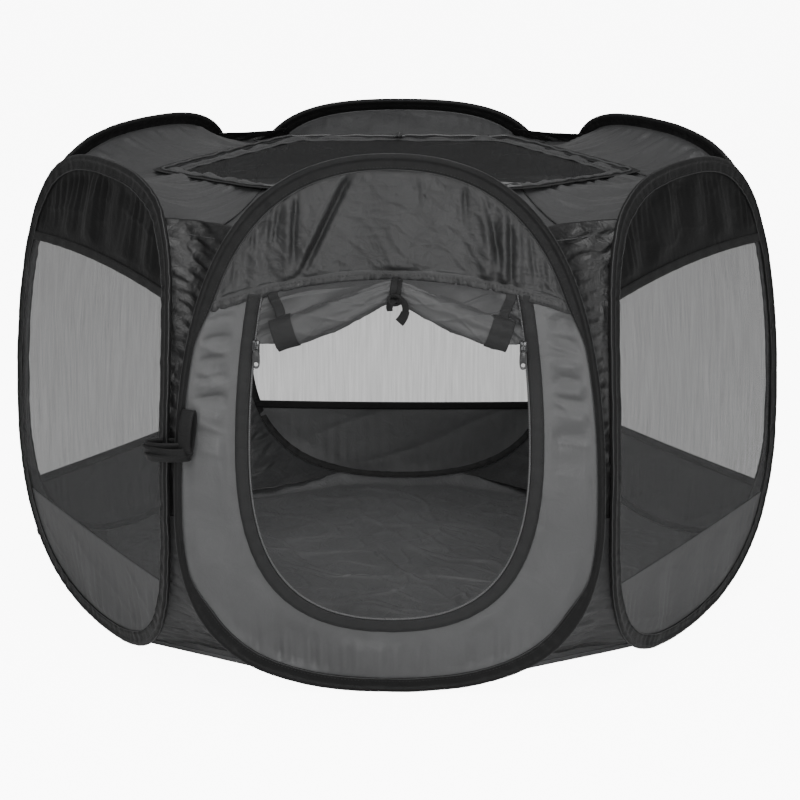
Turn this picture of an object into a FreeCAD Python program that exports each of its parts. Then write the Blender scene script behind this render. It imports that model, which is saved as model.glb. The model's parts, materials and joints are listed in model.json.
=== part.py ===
"""Pop-up pet playpen: six sprung fabric walls round a zip-in roof hatch and a sewn-in floor.

Frame: origin at the centre of the floor's underside, +Z up, the door wall faces -Y. Millimetres.
Each wall is first drawn upright at the origin, with X along the wall, Y towards the pen's inside
and Z up, and is then turned and moved to its side of the hexagon by its Placement.
"""
import FreeCAD, Part
import Sketcher
import math
import os

Vector = FreeCAD.Vector
UP = Vector(0, 0, 1)

DIMENSIONS = {
    "hexagon_side": 600,
    "loop_half_width": 297,
    "widest_height": 264,
    "side_top": 714,
    "front_top": 759,
    "side_top_roundness": 0.86,
    "front_top_roundness": 0.70,
    "bottom_roundness": 0.705,
    "bow_radius": 2125,
    "sleeve_thickness": 10,
    "sleeve_width": 22,
    "cavity_thickness": 7.8,
    "cavity_outer_inset": 2.4,
    "cavity_inner_inset": 7.4,
    "band_thickness": 6,
    "band_outer_inset": 4,
    "band_inner_inset": 5.5,
    "ferrule_thickness": 7.2,
    "ferrule_length": 36,
    "ferrule_wall": 0.8,
    "ferrule_gap": 0.15,
    "seam_gap": 0.4,
    "cloth_thickness": 1.2,
    "mesh_thickness": 0.8,
    "tape_thickness": 2.4,
    "tape_width": 17,
    "mesh_bottom": 155,
    "mesh_top": 565,
    "front_seam_height": 602,
    "front_seam_drop": 60,
    "front_seam_half_width": 290,
    "door_half_width": 210,
    "door_widest_height": 350,
    "door_bottom": 95,
    "door_top": 546,
    "door_top_inset": 15,
    "door_roundness": 0.69,
    "door_tape_width": 18,
    "roll_half_length": 151,
    "roll_end_height": 526,
    "roll_centre_height": 586,
    "roll_end_radius": 22,
    "roll_centre_radius": 15,
    "roll_depth": 34,
    "roll_cap_thickness": 3,
    "tie_width": 18,
    "tie_thickness": 1.6,
    "tie_slack": 6.8,
    "tie_tail_offset": 2,
    "slider_height": 500,
    "slider_across": 181,
    "slider_width": 11,
    "slider_length": 22,
    "slider_thickness": 10,
    "slider_slot": 6.2,
    "slider_post": 2.4,
    "pull_length": 32,
    "pull_width": 12,
    "pull_thickness": 2,
    "pull_hole_radius": 3,
    "pull_bar_radius": 1.2,
    "pull_head_gap": 2,
    "pull_arm_lap": 1,
    "bail_clearance": 0.6,
    "bail_wire": 1.6,
    "chord_half_width": 200,
    "upper_gusset_apex": 556,
    "lower_gusset_apex": 190,
    "gusset_chord_gap": 4,
    "floor_half_width": 110,
    "floor_inset": 5,
    "floor_thickness": 2,
    "hatch_radius": 385,
    "hatch_front_height": 687,
    "hatch_middle_height": 661,
    "hatch_back_height": 668,
    "hatch_centre_height": 655,
    "hatch_tape_width": 12,
    "hatch_border_width": 26,
    "hatch_slider_length": 22,
    "hatch_slider_width": 12,
    "hatch_slider_thickness": 5,
    "hatch_slider_gap": 1,
    "strap_width": 62,
    "strap_height": 24,
    "strap_thickness": 5,
    "strap_bottom": 346,
    "strap_distance": 13,
}

document = FreeCAD.newDocument("pet_playpen")
sheet = document.addObject("Spreadsheet::Sheet", "Dims")
for row, (alias, number) in enumerate(DIMENSIONS.items(), start=1):
    sheet.set(f"A{row}", alias.replace("_", " "))
    sheet.set(f"B{row}", str(number))
    sheet.setAlias(f"B{row}", alias)
document.recompute()


class Size:
    """A length that knows both its number and the sheet expression that gives it."""

    def __init__(self, number, text):
        self.number = number
        self.text = text

    def joined(self, sign, other, number):
        return Size(number, f"({self.text} {sign} {other.text})")

    def __add__(self, other):
        other = as_size(other)
        return self.joined("+", other, self.number + other.number)

    def __sub__(self, other):
        other = as_size(other)
        return self.joined("-", other, self.number - other.number)

    def __mul__(self, other):
        other = as_size(other)
        return self.joined("*", other, self.number * other.number)

    def __truediv__(self, other):
        other = as_size(other)
        return self.joined("/", other, self.number / other.number)

    def __neg__(self):
        return Size(-self.number, f"(0 - {self.text})")


def as_size(value):
    """Turns a plain number into a Size and leaves a Size as it is."""
    if isinstance(value, Size):
        return value
    return Size(float(value), repr(float(value)))


def size(alias):
    """Reads one driving dimension from the sheet."""
    return Size(float(sheet.get(alias)), f"Dims.{alias}")


class Wall:
    """One side of the hexagon: its name, its turn about Z and the height and roundness of its arch."""

    def __init__(self, name, turn, kind):
        self.name = name
        self.turn = turn
        self.top = size(f"{kind}_top")
        self.top_roundness = size(f"{kind}_top_roundness")


FRONT = Wall("front", 0, "front")
SIDE_WALLS = [
    Wall("front_right", 60, "side"),
    Wall("back_right", 120, "side"),
    Wall("back", 180, "side"),
    Wall("back_left", 240, "side"),
    Wall("front_left", 300, "side"),
]
WALLS = [FRONT] + SIDE_WALLS
MARGIN = as_size(40)
TINY = 1e-6
HALVINGS = 40
FINISHED = []


# Sketches -----------------------------------------------------------------------------------------


def new_body(name):
    """Starts a body that may hold several separate solids."""
    body = document.addObject("PartDesign::Body", name)
    body.AllowCompound = True
    return body


def new_sketch(body, name, role):
    """Puts an empty sketch on one of the body's own origin planes."""
    sketch = body.newObject("Sketcher::SketchObject", name)
    plane = next(item for item in body.Origin.OriginFeatures if item.Role == role)
    sketch.AttachmentSupport = [(plane, "")]
    sketch.MapMode = "FlatFace"
    return sketch


def bind(sketch, constraints):
    """Adds constraints, given as (kind, references, size), and ties each to its sheet expression."""
    made = [Sketcher.Constraint(kind, *where, value.number) for kind, where, value in constraints]
    indices = sketch.addConstraint(made)
    for index, (_, _, value) in zip(indices, constraints):
        sketch.setExpression(f"Constraints[{index}]", value.text)


def at_point(geometry, point, across, up):
    """Gives the two constraints that hold a point at a distance across and up from the origin."""
    return [
        ("DistanceX", (-1, 1, geometry, point), as_size(across)),
        ("DistanceY", (-1, 1, geometry, point), as_size(up)),
    ]


def draw_chain(sketch, runs):
    """Draws a closed outline. A run of one point is a straight line to the next run's start, and a
    run of three points is a cubic curve whose last two points are its handles."""
    starts = [run[0] for run in runs]
    pieces = []
    for run, following in zip(runs, starts[1:] + starts[:1]):
        ends = [Vector(as_size(x).number, as_size(y).number, 0) for x, y in run + [following]]
        if len(run) == 1:
            shape = Part.LineSegment(*ends)
        else:
            shape = Part.BSplineCurve()
            shape.buildFromPolesMultsKnots(ends, [4, 4], [0, 1], False, 3)
        pieces.append(sketch.addGeometry(shape, False))
    followers = pieces[1:] + pieces[:1]
    sketch.addConstraint(
        [Sketcher.Constraint("Coincident", a, 2, b, 1) for a, b in zip(pieces, followers)]
    )
    constraints = []
    for piece, run in zip(pieces, runs):
        constraints += at_point(piece, 1, *run[0])
        if len(run) == 3:
            first_pole = sketch.GeometryCount
            sketch.exposeInternalGeometry(piece)
            constraints += at_point(first_pole + 1, 3, *run[1])
            constraints += at_point(first_pole + 2, 3, *run[2])
    bind(sketch, constraints)


def draw_rectangle(sketch, left, bottom, right, top):
    """Draws a rectangle from its four sides."""
    draw_chain(sketch, [[(left, bottom)], [(right, bottom)], [(right, top)], [(left, top)]])


def draw_loop(sketch, wall, inset):
    """Draws the line that lies inset inside a wall's outer edge: four rounded quarters."""
    half = size("loop_half_width") - inset
    middle = size("widest_height")
    rise = wall.top - middle - inset
    fall = middle - inset
    upper = wall.top_roundness
    lower = size("bottom_roundness")
    zero = as_size(0)
    draw_chain(
        sketch,
        [
            [(half, middle), (half, middle + rise * upper), (half * upper, middle + rise)],
            [(zero, middle + rise), (-(half * upper), middle + rise), (-half, middle + rise * upper)],
            [(-half, middle), (-half, middle - fall * lower), (-(half * lower), middle - fall)],
            [(zero, middle - fall), (half * lower, middle - fall), (half, middle - fall * lower)],
        ],
    )


def draw_surround(sketch, wall):
    """Draws a rectangle that clears the whole wall, so that what lies outside a loop can be cut."""
    reach = size("loop_half_width") + MARGIN * 2
    draw_rectangle(sketch, -reach, -(MARGIN * 2), reach, wall.top + MARGIN * 2)


def draw_door(sketch, inset, top):
    """Draws the door's U: a rounded sill and two jambs that lean in towards a straight top."""
    half = size("door_half_width") - inset
    middle = size("door_widest_height")
    fall = middle - size("door_bottom") - inset
    lean = half - size("door_top_inset")
    handle = (top - middle) / 3
    roundness = size("door_roundness")
    sill_handle = middle - fall * roundness
    zero = as_size(0)
    shoulder = lean + size("door_top_inset") / 3
    right_jamb = [(half, middle), (half, middle + handle), (shoulder, top - handle)]
    left_jamb = [(-lean, top), (-shoulder, top - handle), (-half, middle + handle)]
    draw_chain(
        sketch,
        [
            right_jamb,
            [(lean, top)],
            left_jamb,
            [(-half, middle), (-half, sill_handle), (-(half * roundness), middle - fall)],
            [(zero, middle - fall), (half * roundness, middle - fall), (half, sill_handle)],
        ],
    )


def draw_beside_front_seam(sketch, shift, far_side):
    """Draws the region between the door wall's arched seam, moved up by shift, and a far height."""
    reach = size("front_seam_half_width")
    drop = size("front_seam_drop")
    peak = size("front_seam_height") + shift
    handle = peak + drop / 3
    ends = peak - drop
    arch = [(-reach, ends), (-(reach / 3), handle), (reach / 3, handle)]
    draw_chain(sketch, [arch, [(reach, ends)], [(reach, far_side)], [(-reach, far_side)]])


# Features -----------------------------------------------------------------------------------------


def pad_sheet(body, wall, thickness):
    """Pads a sheet that bows inwards above and below its widest height, centred in the sleeve."""
    sketch = new_sketch(body, f"{body.Name}_section", "YZ_Plane")
    radius = size("bow_radius")
    middle = size("widest_height")
    bottom = -MARGIN
    top = wall.top + MARGIN
    skin = size("sleeve_thickness") / 2
    radii = [radius + skin - thickness / 2, radius + skin + thickness / 2]
    arcs = []
    for arc_radius in radii:
        circle = Part.Circle(Vector(radius.number, middle.number, 0), UP, arc_radius.number)
        first = math.pi - math.asin((top.number - middle.number) / arc_radius.number)
        last = math.pi + math.asin((middle.number - bottom.number) / arc_radius.number)
        arcs.append(sketch.addGeometry(Part.ArcOfCircle(circle, first, last), False))
    inner, outer = [sketch.Geometry[arc] for arc in arcs]
    upper = sketch.addGeometry(Part.LineSegment(inner.StartPoint, outer.StartPoint), False)
    lower = sketch.addGeometry(Part.LineSegment(inner.EndPoint, outer.EndPoint), False)
    sketch.addConstraint(
        [
            Sketcher.Constraint("Coincident", arcs[0], 3, arcs[1], 3),
            Sketcher.Constraint("Coincident", upper, 1, arcs[0], 1),
            Sketcher.Constraint("Coincident", upper, 2, arcs[1], 1),
            Sketcher.Constraint("Coincident", lower, 1, arcs[0], 2),
            Sketcher.Constraint("Coincident", lower, 2, arcs[1], 2),
            Sketcher.Constraint("Horizontal", upper),
            Sketcher.Constraint("Horizontal", lower),
        ]
    )
    bind(
        sketch,
        at_point(arcs[0], 3, radius, middle)
        + [("Radius", (arcs[0],), radii[0]), ("Radius", (arcs[1],), radii[1])]
        + [("DistanceY", (-1, 1, upper, 1), top), ("DistanceY", (-1, 1, lower, 1), bottom)],
    )
    pad = body.newObject("PartDesign::Pad", f"{body.Name}_sheet")
    pad.Profile = sketch
    pad.SideType = "Symmetric"
    pad.setExpression("Length", (size("loop_half_width") * 2 + MARGIN).text)


def cut_through(body, name, draw):
    """Cuts everything that draw outlines on the wall's face right through the body."""
    sketch = new_sketch(body, f"{body.Name}_{name}_outline", "XZ_Plane")
    draw(sketch)
    pocket = body.newObject("PartDesign::Pocket", f"{body.Name}_{name}")
    pocket.Profile = sketch
    pocket.Type = "ThroughAll"
    pocket.SideType = "Symmetric"


def keep_ring(body, wall, outer_inset, inner_inset):
    """Keeps only the ring of the wall between two insets."""

    def draw(sketch):
        draw_surround(sketch, wall)
        draw_loop(sketch, wall, outer_inset)
        draw_loop(sketch, wall, inner_inset)

    cut_through(body, "ring", draw)


def keep_inside(body, wall, inset):
    """Keeps only what lies further than inset inside the wall's outer edge."""

    def draw(sketch):
        draw_surround(sketch, wall)
        draw_loop(sketch, wall, inset)

    cut_through(body, "edge", draw)


def cut_levels(body, wall, levels):
    """Cuts away horizontal bands, each given by its bottom and top."""
    reach = size("loop_half_width") + MARGIN

    def draw(sketch):
        for bottom, top in levels:
            draw_rectangle(sketch, -reach, bottom, reach, top)

    cut_through(body, "levels", draw)


def stand_on_side(item, wall):
    """Turns a wall piece and moves it out to its side of the hexagon."""
    apothem = "Dims.hexagon_side * sqrt(3) / 2"
    item.setExpression("Placement.Base.x", f"{apothem} * sin({wall.turn} deg)")
    item.setExpression("Placement.Base.y", f"-({apothem}) * cos({wall.turn} deg)")
    item.setExpression("Placement.Rotation.Angle", f"{wall.turn} deg")


def finish(item, label, wall=None):
    """Names a finished sub-part and, for a wall piece, puts it in its place."""
    item.Label = label
    if wall is not None:
        stand_on_side(item, wall)
    FINISHED.append(item)


def hollowed(name, blank, hole):
    """Cuts one body out of another."""
    cut = document.addObject("Part::Cut", name)
    cut.Base = blank
    cut.Tool = hole
    return cut


# Wall pieces --------------------------------------------------------------------------------------


def make_spring_loop(wall):
    """The flat spring steel band, closed to a loop, with a bowed arch at its top."""
    body = new_body(f"band_{wall.name}")
    pad_sheet(body, wall, size("band_thickness"))
    keep_ring(body, wall, size("band_outer_inset"), size("band_inner_inset"))
    finish(body, f"spring_loop_{wall.name}", wall)


def ferrule_block(wall, name, thickness, outer_inset, inner_inset):
    """A short bottom stretch of a ring of the wall."""
    body = new_body(name)
    pad_sheet(body, wall, thickness)
    keep_ring(body, wall, outer_inset, inner_inset)
    reach = size("loop_half_width") + MARGIN
    half = size("ferrule_length") / 2

    def draw(sketch):
        draw_rectangle(sketch, -reach, size("widest_height") / 2, reach, wall.top + MARGIN)
        draw_rectangle(sketch, -reach, -MARGIN, -half, size("widest_height") / 2)
        draw_rectangle(sketch, half, -MARGIN, reach, size("widest_height") / 2)

    cut_through(body, "ends", draw)
    return body


def make_ferrule(wall):
    """The crimped tube that joins the band's two ends at the bottom of the loop."""
    gap = size("ferrule_gap")
    skin = size("ferrule_wall") + gap
    outer = ferrule_block(
        wall,
        f"ferrule_blank_{wall.name}",
        size("ferrule_thickness"),
        size("band_outer_inset") - skin,
        size("band_inner_inset") + skin,
    )
    hole = ferrule_block(
        wall,
        f"ferrule_hole_{wall.name}",
        size("band_thickness") + gap * 2,
        size("band_outer_inset") - gap,
        size("band_inner_inset") + gap,
    )
    finish(hollowed(f"ferrule_cut_{wall.name}", outer, hole), f"ferrule_{wall.name}", wall)


def make_sleeve(wall):
    """The hemmed fabric tube round the band, with its seam allowance on the inner edge."""
    blank = new_body(f"sleeve_blank_{wall.name}")
    pad_sheet(blank, wall, size("sleeve_thickness"))
    keep_ring(blank, wall, as_size(0), size("sleeve_width"))
    cavity = new_body(f"sleeve_cavity_{wall.name}")
    pad_sheet(cavity, wall, size("cavity_thickness"))
    keep_ring(cavity, wall, size("cavity_outer_inset"), size("cavity_inner_inset"))
    finish(hollowed(f"sleeve_cut_{wall.name}", blank, cavity), f"sleeve_{wall.name}", wall)


def make_band_of_cloth(wall, label, thickness, cut_bands):
    """A piece of cloth or mesh that fills the loop between two heights."""
    body = new_body(f"{label}_body")
    pad_sheet(body, wall, thickness)
    keep_inside(body, wall, size("sleeve_width") + size("seam_gap"))
    cut_levels(body, wall, cut_bands)
    finish(body, label, wall)


def make_side_wall_cloth(wall):
    """The solid cloth above and below the mesh window, the mesh, and the tapes over both seams."""
    floor = -MARGIN
    ceiling = wall.top + MARGIN
    half_tape = size("tape_width") / 2
    clear = half_tape + size("seam_gap")
    low = size("mesh_bottom")
    high = size("mesh_top")
    cloth = size("cloth_thickness")
    make_band_of_cloth(wall, f"upper_panel_{wall.name}", cloth, [(floor, high + clear)])
    make_band_of_cloth(wall, f"lower_panel_{wall.name}", cloth, [(low - clear, ceiling)])
    make_band_of_cloth(
        wall,
        f"mesh_window_{wall.name}",
        size("mesh_thickness"),
        [(floor, low + clear), (high - clear, ceiling)],
    )
    make_band_of_cloth(
        wall,
        f"window_tapes_{wall.name}",
        size("tape_thickness"),
        [(floor, low - half_tape), (low + half_tape, high - half_tape), (high + half_tape, ceiling)],
    )


def make_front_cloth():
    """The door wall's dark upper cloth, the cloth round the door, and the door's zip tape."""
    edge = size("sleeve_width") + size("seam_gap")
    gap = size("seam_gap")

    upper = new_body("upper_panel_front_body")
    pad_sheet(upper, FRONT, size("cloth_thickness"))
    keep_inside(upper, FRONT, edge)
    cut_through(upper, "below_seam", lambda sketch: draw_beside_front_seam(sketch, gap, -MARGIN))
    finish(upper, "upper_panel_front", FRONT)

    surround = new_body("door_surround_body")
    pad_sheet(surround, FRONT, size("cloth_thickness"))
    keep_inside(surround, FRONT, edge)
    ceiling = FRONT.top + MARGIN
    cut_through(surround, "above_seam", lambda sketch: draw_beside_front_seam(sketch, -gap, ceiling))
    cut_through(surround, "doorway", lambda sketch: draw_door(sketch, as_size(0), size("door_top")))
    finish(surround, "door_surround", FRONT)

    tape = new_body("door_zipper_tape_body")
    pad_sheet(tape, FRONT, size("mesh_thickness") + size("cloth_thickness") / 2)
    tape_top = size("door_top") - gap

    def draw_outside(sketch):
        draw_surround(sketch, FRONT)
        draw_door(sketch, gap, tape_top)

    cut_through(tape, "outside", draw_outside)
    inner_edge = size("door_tape_width")
    cut_through(tape, "inside", lambda sketch: draw_door(sketch, inner_edge, tape_top + MARGIN))
    finish(tape, "door_zipper_tape", FRONT)


# The rolled door ----------------------------------------------------------------------------------


def set_place(item, x, y, z, axis, angle):
    """Binds a primitive's position to sizes, and turns it by an angle about an axis."""
    item.Placement = FreeCAD.Placement(Vector(0, 0, 0), FreeCAD.Rotation(axis, angle))
    for letter, value in (("x", x), ("y", y), ("z", z)):
        item.setExpression(f"Placement.Base.{letter}", as_size(value).text)


def roll_slope():
    """The angle, in degrees, by which each half of the roll hangs below the horizontal."""
    fall = size("roll_centre_height").number - size("roll_end_height").number
    return math.degrees(math.atan2(fall, size("roll_half_length").number))


def roll_lead():
    """How far the roll's axis lies outside the door wall's inner face line, towards -Y."""
    return -(size("hexagon_side") * (math.sqrt(3) / 2) + size("roll_depth"))


def make_door_roll():
    """The rolled-up door: two cones that meet at the pinched, tied middle."""
    lead = roll_lead()
    slant = "sqrt(Dims.roll_half_length ^ 2 + (Dims.roll_centre_height - Dims.roll_end_height) ^ 2)"
    halves = []
    for side, turn in (("left", -90 - roll_slope()), ("right", 90 + roll_slope())):
        cone = document.addObject("Part::Cone", f"roll_{side}")
        cone.setExpression("Radius1", "Dims.roll_centre_radius")
        cone.setExpression("Radius2", "Dims.roll_end_radius")
        cone.setExpression("Height", slant)
        set_place(cone, 0, lead, size("roll_centre_height"), Vector(0, 1, 0), turn)
        halves.append(cone)
    middle = document.addObject("Part::Sphere", "roll_middle")
    middle.setExpression("Radius", "Dims.roll_centre_radius")
    set_place(middle, 0, lead, size("roll_centre_height"), Vector(0, 1, 0), 0)
    roll = document.addObject("Part::MultiFuse", "door_roll_fuse")
    roll.Shapes = halves + [middle]
    finish(roll, "door_roll")


def make_roll_caps():
    """The bound zip edge of the door, which shows as a disc at each end of the roll."""
    lead = roll_lead()
    slope = math.radians(roll_slope())
    off_end = size("seam_gap")
    caps = []
    for side, sign in (("left", -1), ("right", 1)):
        cap = document.addObject("Part::Cylinder", f"roll_cap_{side}")
        cap.setExpression("Radius", "Dims.roll_end_radius")
        cap.setExpression("Height", "Dims.roll_cap_thickness")
        across = (size("roll_half_length") + off_end * math.cos(slope)) * sign
        height = size("roll_end_height") - off_end * math.sin(slope)
        set_place(cap, across, lead, height, Vector(0, 1, 0), sign * (90 + roll_slope()))
        caps.append(cap)
    group = document.addObject("Part::Compound", "roll_caps")
    group.Links = caps
    finish(group, "door_roll_bindings")


def make_door_tie():
    """The strap that holds the roll up: a loop round its middle, and a loose tail."""
    lead = roll_lead()
    width = size("tie_width")
    inner = size("roll_centre_radius") + size("tie_slack")
    outer = inner + size("tie_thickness")
    height = size("roll_centre_height")
    tubes = []
    for name, radius in (("tie_outer", outer), ("tie_inner", inner)):
        tube = document.addObject("Part::Cylinder", name)
        tube.setExpression("Radius", radius.text)
        tube.setExpression("Height", width.text)
        set_place(tube, -(width / 2), lead, height, Vector(0, 1, 0), 90)
        tubes.append(tube)
    loop = hollowed("tie_loop", tubes[0], tubes[1])
    tail = document.addObject("Part::Box", "tie_tail")
    tail.setExpression("Length", (width / 2).text)
    tail.setExpression("Width", "Dims.tie_thickness")
    tail.setExpression("Height", outer.text)
    set_place(tail, size("tie_tail_offset"), lead - outer, height - outer * 2, UP, 0)
    tie = document.addObject("Part::MultiFuse", "door_tie_fuse")
    tie.Shapes = [loop, tail]
    finish(tie, "door_tie")


# Zip sliders and their pulls ----------------------------------------------------------------------


def bow_at(height):
    """How far a wall leans inwards at a height."""
    rise = height - size("widest_height").number
    radius = size("bow_radius").number
    return radius - math.sqrt(radius ** 2 - rise ** 2)


def wall_face_y(height):
    """The y of the middle of the door wall's cloth at a height."""
    apothem = size("hexagon_side").number * math.sqrt(3) / 2
    return bow_at(height) - apothem - size("sleeve_thickness").number / 2


def box_of(name, spans, centre):
    """A box with three side lengths, centred on a point, with both bound to sizes."""
    box = document.addObject("Part::Box", name)
    for side, span in zip(("Length", "Width", "Height"), spans):
        box.setExpression(side, as_size(span).text)
    low = [as_size(middle) - as_size(span) / 2 for middle, span in zip(centre, spans)]
    set_place(box, *low, UP, 0)
    return box


def make_slider(name, side):
    """A door slider: two plates and a post round the tape's edge, with a bail for the pull."""
    across = size("slider_across") * side
    height = size("slider_height")
    face = wall_face_y(height.number)
    width = size("slider_width")
    thick = size("slider_thickness")
    length = size("slider_length")
    body = box_of(f"{name}_body", (width, thick, length), (across, face, height))
    slot_across = across + size("slider_post") * side
    slot_spans = (width, size("slider_slot"), length * 2)
    slot = box_of(f"{name}_slot", slot_spans, (slot_across, face, height))
    plates = hollowed(f"{name}_plates", body, slot)
    reach = size("pull_bar_radius") * 2 + size("bail_clearance") * 2
    wire = size("bail_wire")
    front = as_size(face) - thick / 2
    bail_height = height + length / 4
    outer_spans = (wire, reach + wire, reach + wire * 2)
    inner_spans = (wire * 2, reach, reach)
    outer = box_of(f"{name}_bail_outer", outer_spans, (across, front - (reach + wire) / 2, bail_height))
    inner = box_of(f"{name}_bail_inner", inner_spans, (across, front - reach / 2, bail_height))
    bail = hollowed(f"{name}_bail", outer, inner)
    slider = document.addObject("Part::MultiFuse", f"{name}_fuse")
    slider.Shapes = [plates, bail]
    finish(slider, name)
    return across, front - reach / 2, bail_height


def head_length():
    """How far a pull's tab starts from the middle of its crossbar."""
    return size("bail_clearance") + size("bail_wire") + size("pull_bar_radius") + size("pull_head_gap")


def make_crossbar(name, across, depth, height):
    """The round bar of a pull, which turns in the slider's bail."""
    bar = document.addObject("Part::Cylinder", name)
    bar.setExpression("Radius", "Dims.pull_bar_radius")
    bar.setExpression("Height", "Dims.pull_width")
    set_place(bar, across - size("pull_width") / 2, depth, height, Vector(0, 1, 0), 90)
    return bar


def make_pull(name, across, depth, height):
    """An oval pull tab with a round hole, hung by its crossbar in a slider's bail."""
    width = size("pull_width")
    thick = size("pull_thickness")
    drop = head_length()
    straight = size("pull_length") - drop - width / 2
    bar = make_crossbar(f"{name}_bar", across, depth, height)
    arm_spans = (width / 4, thick, drop + size("pull_arm_lap"))
    arms = []
    for side in (-1, 1):
        arm_across = across + width * (side * 3 / 8)
        centre = (arm_across, depth, height - arm_spans[2] / 2)
        arms.append(box_of(f"{name}_arm_{side}", arm_spans, centre))
    tab = box_of(f"{name}_tab", (width, thick, straight), (across, depth, height - drop - straight / 2))
    tip_height = height - drop - straight
    tip = document.addObject("Part::Cylinder", f"{name}_tip")
    hole = document.addObject("Part::Cylinder", f"{name}_hole")
    for disc, radius, length in ((tip, width / 2, thick), (hole, size("pull_hole_radius"), thick * 3)):
        disc.setExpression("Radius", radius.text)
        disc.setExpression("Height", length.text)
        set_place(disc, across, depth + length / 2, tip_height, Vector(1, 0, 0), 90)
    solid = document.addObject("Part::MultiFuse", f"{name}_solid")
    solid.Shapes = [bar, tab, tip] + arms
    finish(hollowed(f"{name}_cut", solid, hole), name)


# The roof, the gussets and the floor --------------------------------------------------------------


def strip_solid(first_edge, second_edge, shift, closed):
    """Makes a closed thin solid between two edges with the same number of points. The second skin
    is the first one moved by shift, and a closed strip runs right round."""
    count = len(first_edge)
    skins = [
        [[point + move for point in edge] for edge in (first_edge, second_edge)]
        for move in (Vector(0, 0, 0), shift)
    ]
    faces = []

    def add(a, b, c):
        if (b - a).cross(c - a).Length > TINY:
            faces.append(Part.Face(Part.makePolygon([a, b, c, a])))

    def add_four(a, b, c, d):
        add(a, b, c)
        add(a, c, d)

    steps = count if closed else count - 1
    for step in range(steps):
        after = (step + 1) % count
        for edges in skins:
            add_four(edges[0][step], edges[0][after], edges[1][after], edges[1][step])
        for edge in (0, 1):
            lower, upper = skins[0][edge], skins[1][edge]
            add_four(lower[step], lower[after], upper[after], upper[step])
    if not closed:
        for end in (0, count - 1):
            lower, upper = skins
            add_four(lower[0][end], lower[1][end], upper[1][end], upper[0][end])
    shell = Part.makeShell(faces)
    shell.sewShape()
    solid = Part.makeSolid(shell)
    if solid.Volume < 0:
        solid.reverse()
    return solid


def outline_point(wall, share, upper, inset):
    """A point on a wall's loop. share runs from 0 at the widest height to 1 at the crown or sill."""
    half = size("loop_half_width").number - inset
    middle = size("widest_height").number
    if upper:
        rise = wall.top.number - middle - inset
        roundness = wall.top_roundness.number
    else:
        rise = inset - middle
        roundness = size("bottom_roundness").number
    keep = 1 - share
    across = half * (keep ** 3 + 3 * keep ** 2 * share + 3 * keep * share ** 2 * roundness)
    height = rise * (3 * keep ** 2 * share * roundness + 3 * keep * share ** 2 + share ** 3)
    return across, middle + height


def share_at(wall, upper, inset, reached):
    """The share at which a test of (across, height) first holds, found by halving."""
    low, high = 0.0, 1.0
    for _ in range(HALVINGS):
        middle = (low + high) / 2
        if reached(*outline_point(wall, middle, upper, inset)):
            high = middle
        else:
            low = middle
    return high


def on_wall(wall, across, height, depth):
    """A point on a wall, depth inside its inner face, in the pen's own frame."""
    apothem = size("hexagon_side").number * math.sqrt(3) / 2
    local = Vector(across, bow_at(height) + depth - apothem, height)
    return FreeCAD.Rotation(UP, wall.turn).multVec(local)


def shares_between(first, last, steps):
    return [first + (last - first) * step / steps for step in range(steps + 1)]


def add_shape(name, label, shapes):
    """Makes a plain feature that holds one or more solids."""
    feature = document.addObject("Part::Feature", name)
    feature.Shape = shapes[0] if len(shapes) == 1 else Part.makeCompound(shapes)
    finish(feature, label)


ROOF_DEPTH = 1.5
EDGE_STEPS = 6


def arch_line(wall):
    """The line along a wall's arch to which the roof is sewn, from one chord end to the other."""
    inset = size("sleeve_width").number / 2
    chord = size("chord_half_width").number
    first = share_at(wall, True, inset, lambda across, height: across < chord)
    right = [outline_point(wall, share, True, inset) for share in shares_between(first, 1, EDGE_STEPS)]
    left = [(-across, height) for across, height in right]
    line = left + right[-2::-1]
    return [on_wall(wall, across, height, ROOF_DEPTH) for across, height in line]


def hatch_corner(number, shrink):
    """A corner of the roof opening, counted anticlockwise from the one on +X, drawn in by shrink."""
    angle = math.radians(60 * number)
    radius = size("hatch_radius").number - shrink
    heights = {
        0: "hatch_middle_height",
        1: "hatch_back_height",
        2: "hatch_back_height",
        3: "hatch_middle_height",
        4: "hatch_front_height",
        5: "hatch_front_height",
    }
    rim = size(heights[number % 6]).number
    centre = size("hatch_centre_height").number
    height = rim + (centre - rim) * shrink / size("hatch_radius").number
    return Vector(radius * math.cos(angle), radius * math.sin(angle), height)


def hatch_ring(shrink):
    return [hatch_corner(number, shrink) for number in range(6)]


def make_roof():
    """The roof cloth, from the six arches in to the six-sided opening for the hatch."""
    outer, inner = [], []
    for index, wall in enumerate(WALLS):
        line = arch_line(wall)
        start = hatch_corner(index + 4, 0)
        end = hatch_corner(index + 5, 0)
        outer += line
        inner += [start + (end - start) * (step / (len(line) - 1)) for step in range(len(line))]
    sheet_shift = Vector(0, 0, -size("cloth_thickness").number)
    add_shape("roof", "roof_fabric", [strip_solid(outer, inner, sheet_shift, True)])


def make_hatch():
    """The zip tapes on the roof and on the hatch, and the hatch's cloth border and mesh."""
    gap = size("seam_gap").number
    tape = size("hatch_tape_width").number
    border = size("hatch_border_width").number
    thickness = -size("cloth_thickness").number
    shift = Vector(0, 0, thickness)
    edges = {
        "roof_zipper_tape": (gap, tape),
        "hatch_zipper_tape": (tape + gap, tape * 2),
        "hatch_border": (tape * 2 + gap, tape * 2 + border),
        "hatch_mesh": (tape * 2 + border + gap, size("hatch_radius").number),
    }
    for label, (outer, inner) in edges.items():
        ring = strip_solid(hatch_ring(outer), hatch_ring(inner), shift, True)
        add_shape(f"{label}_shape", label, [ring])


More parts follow.
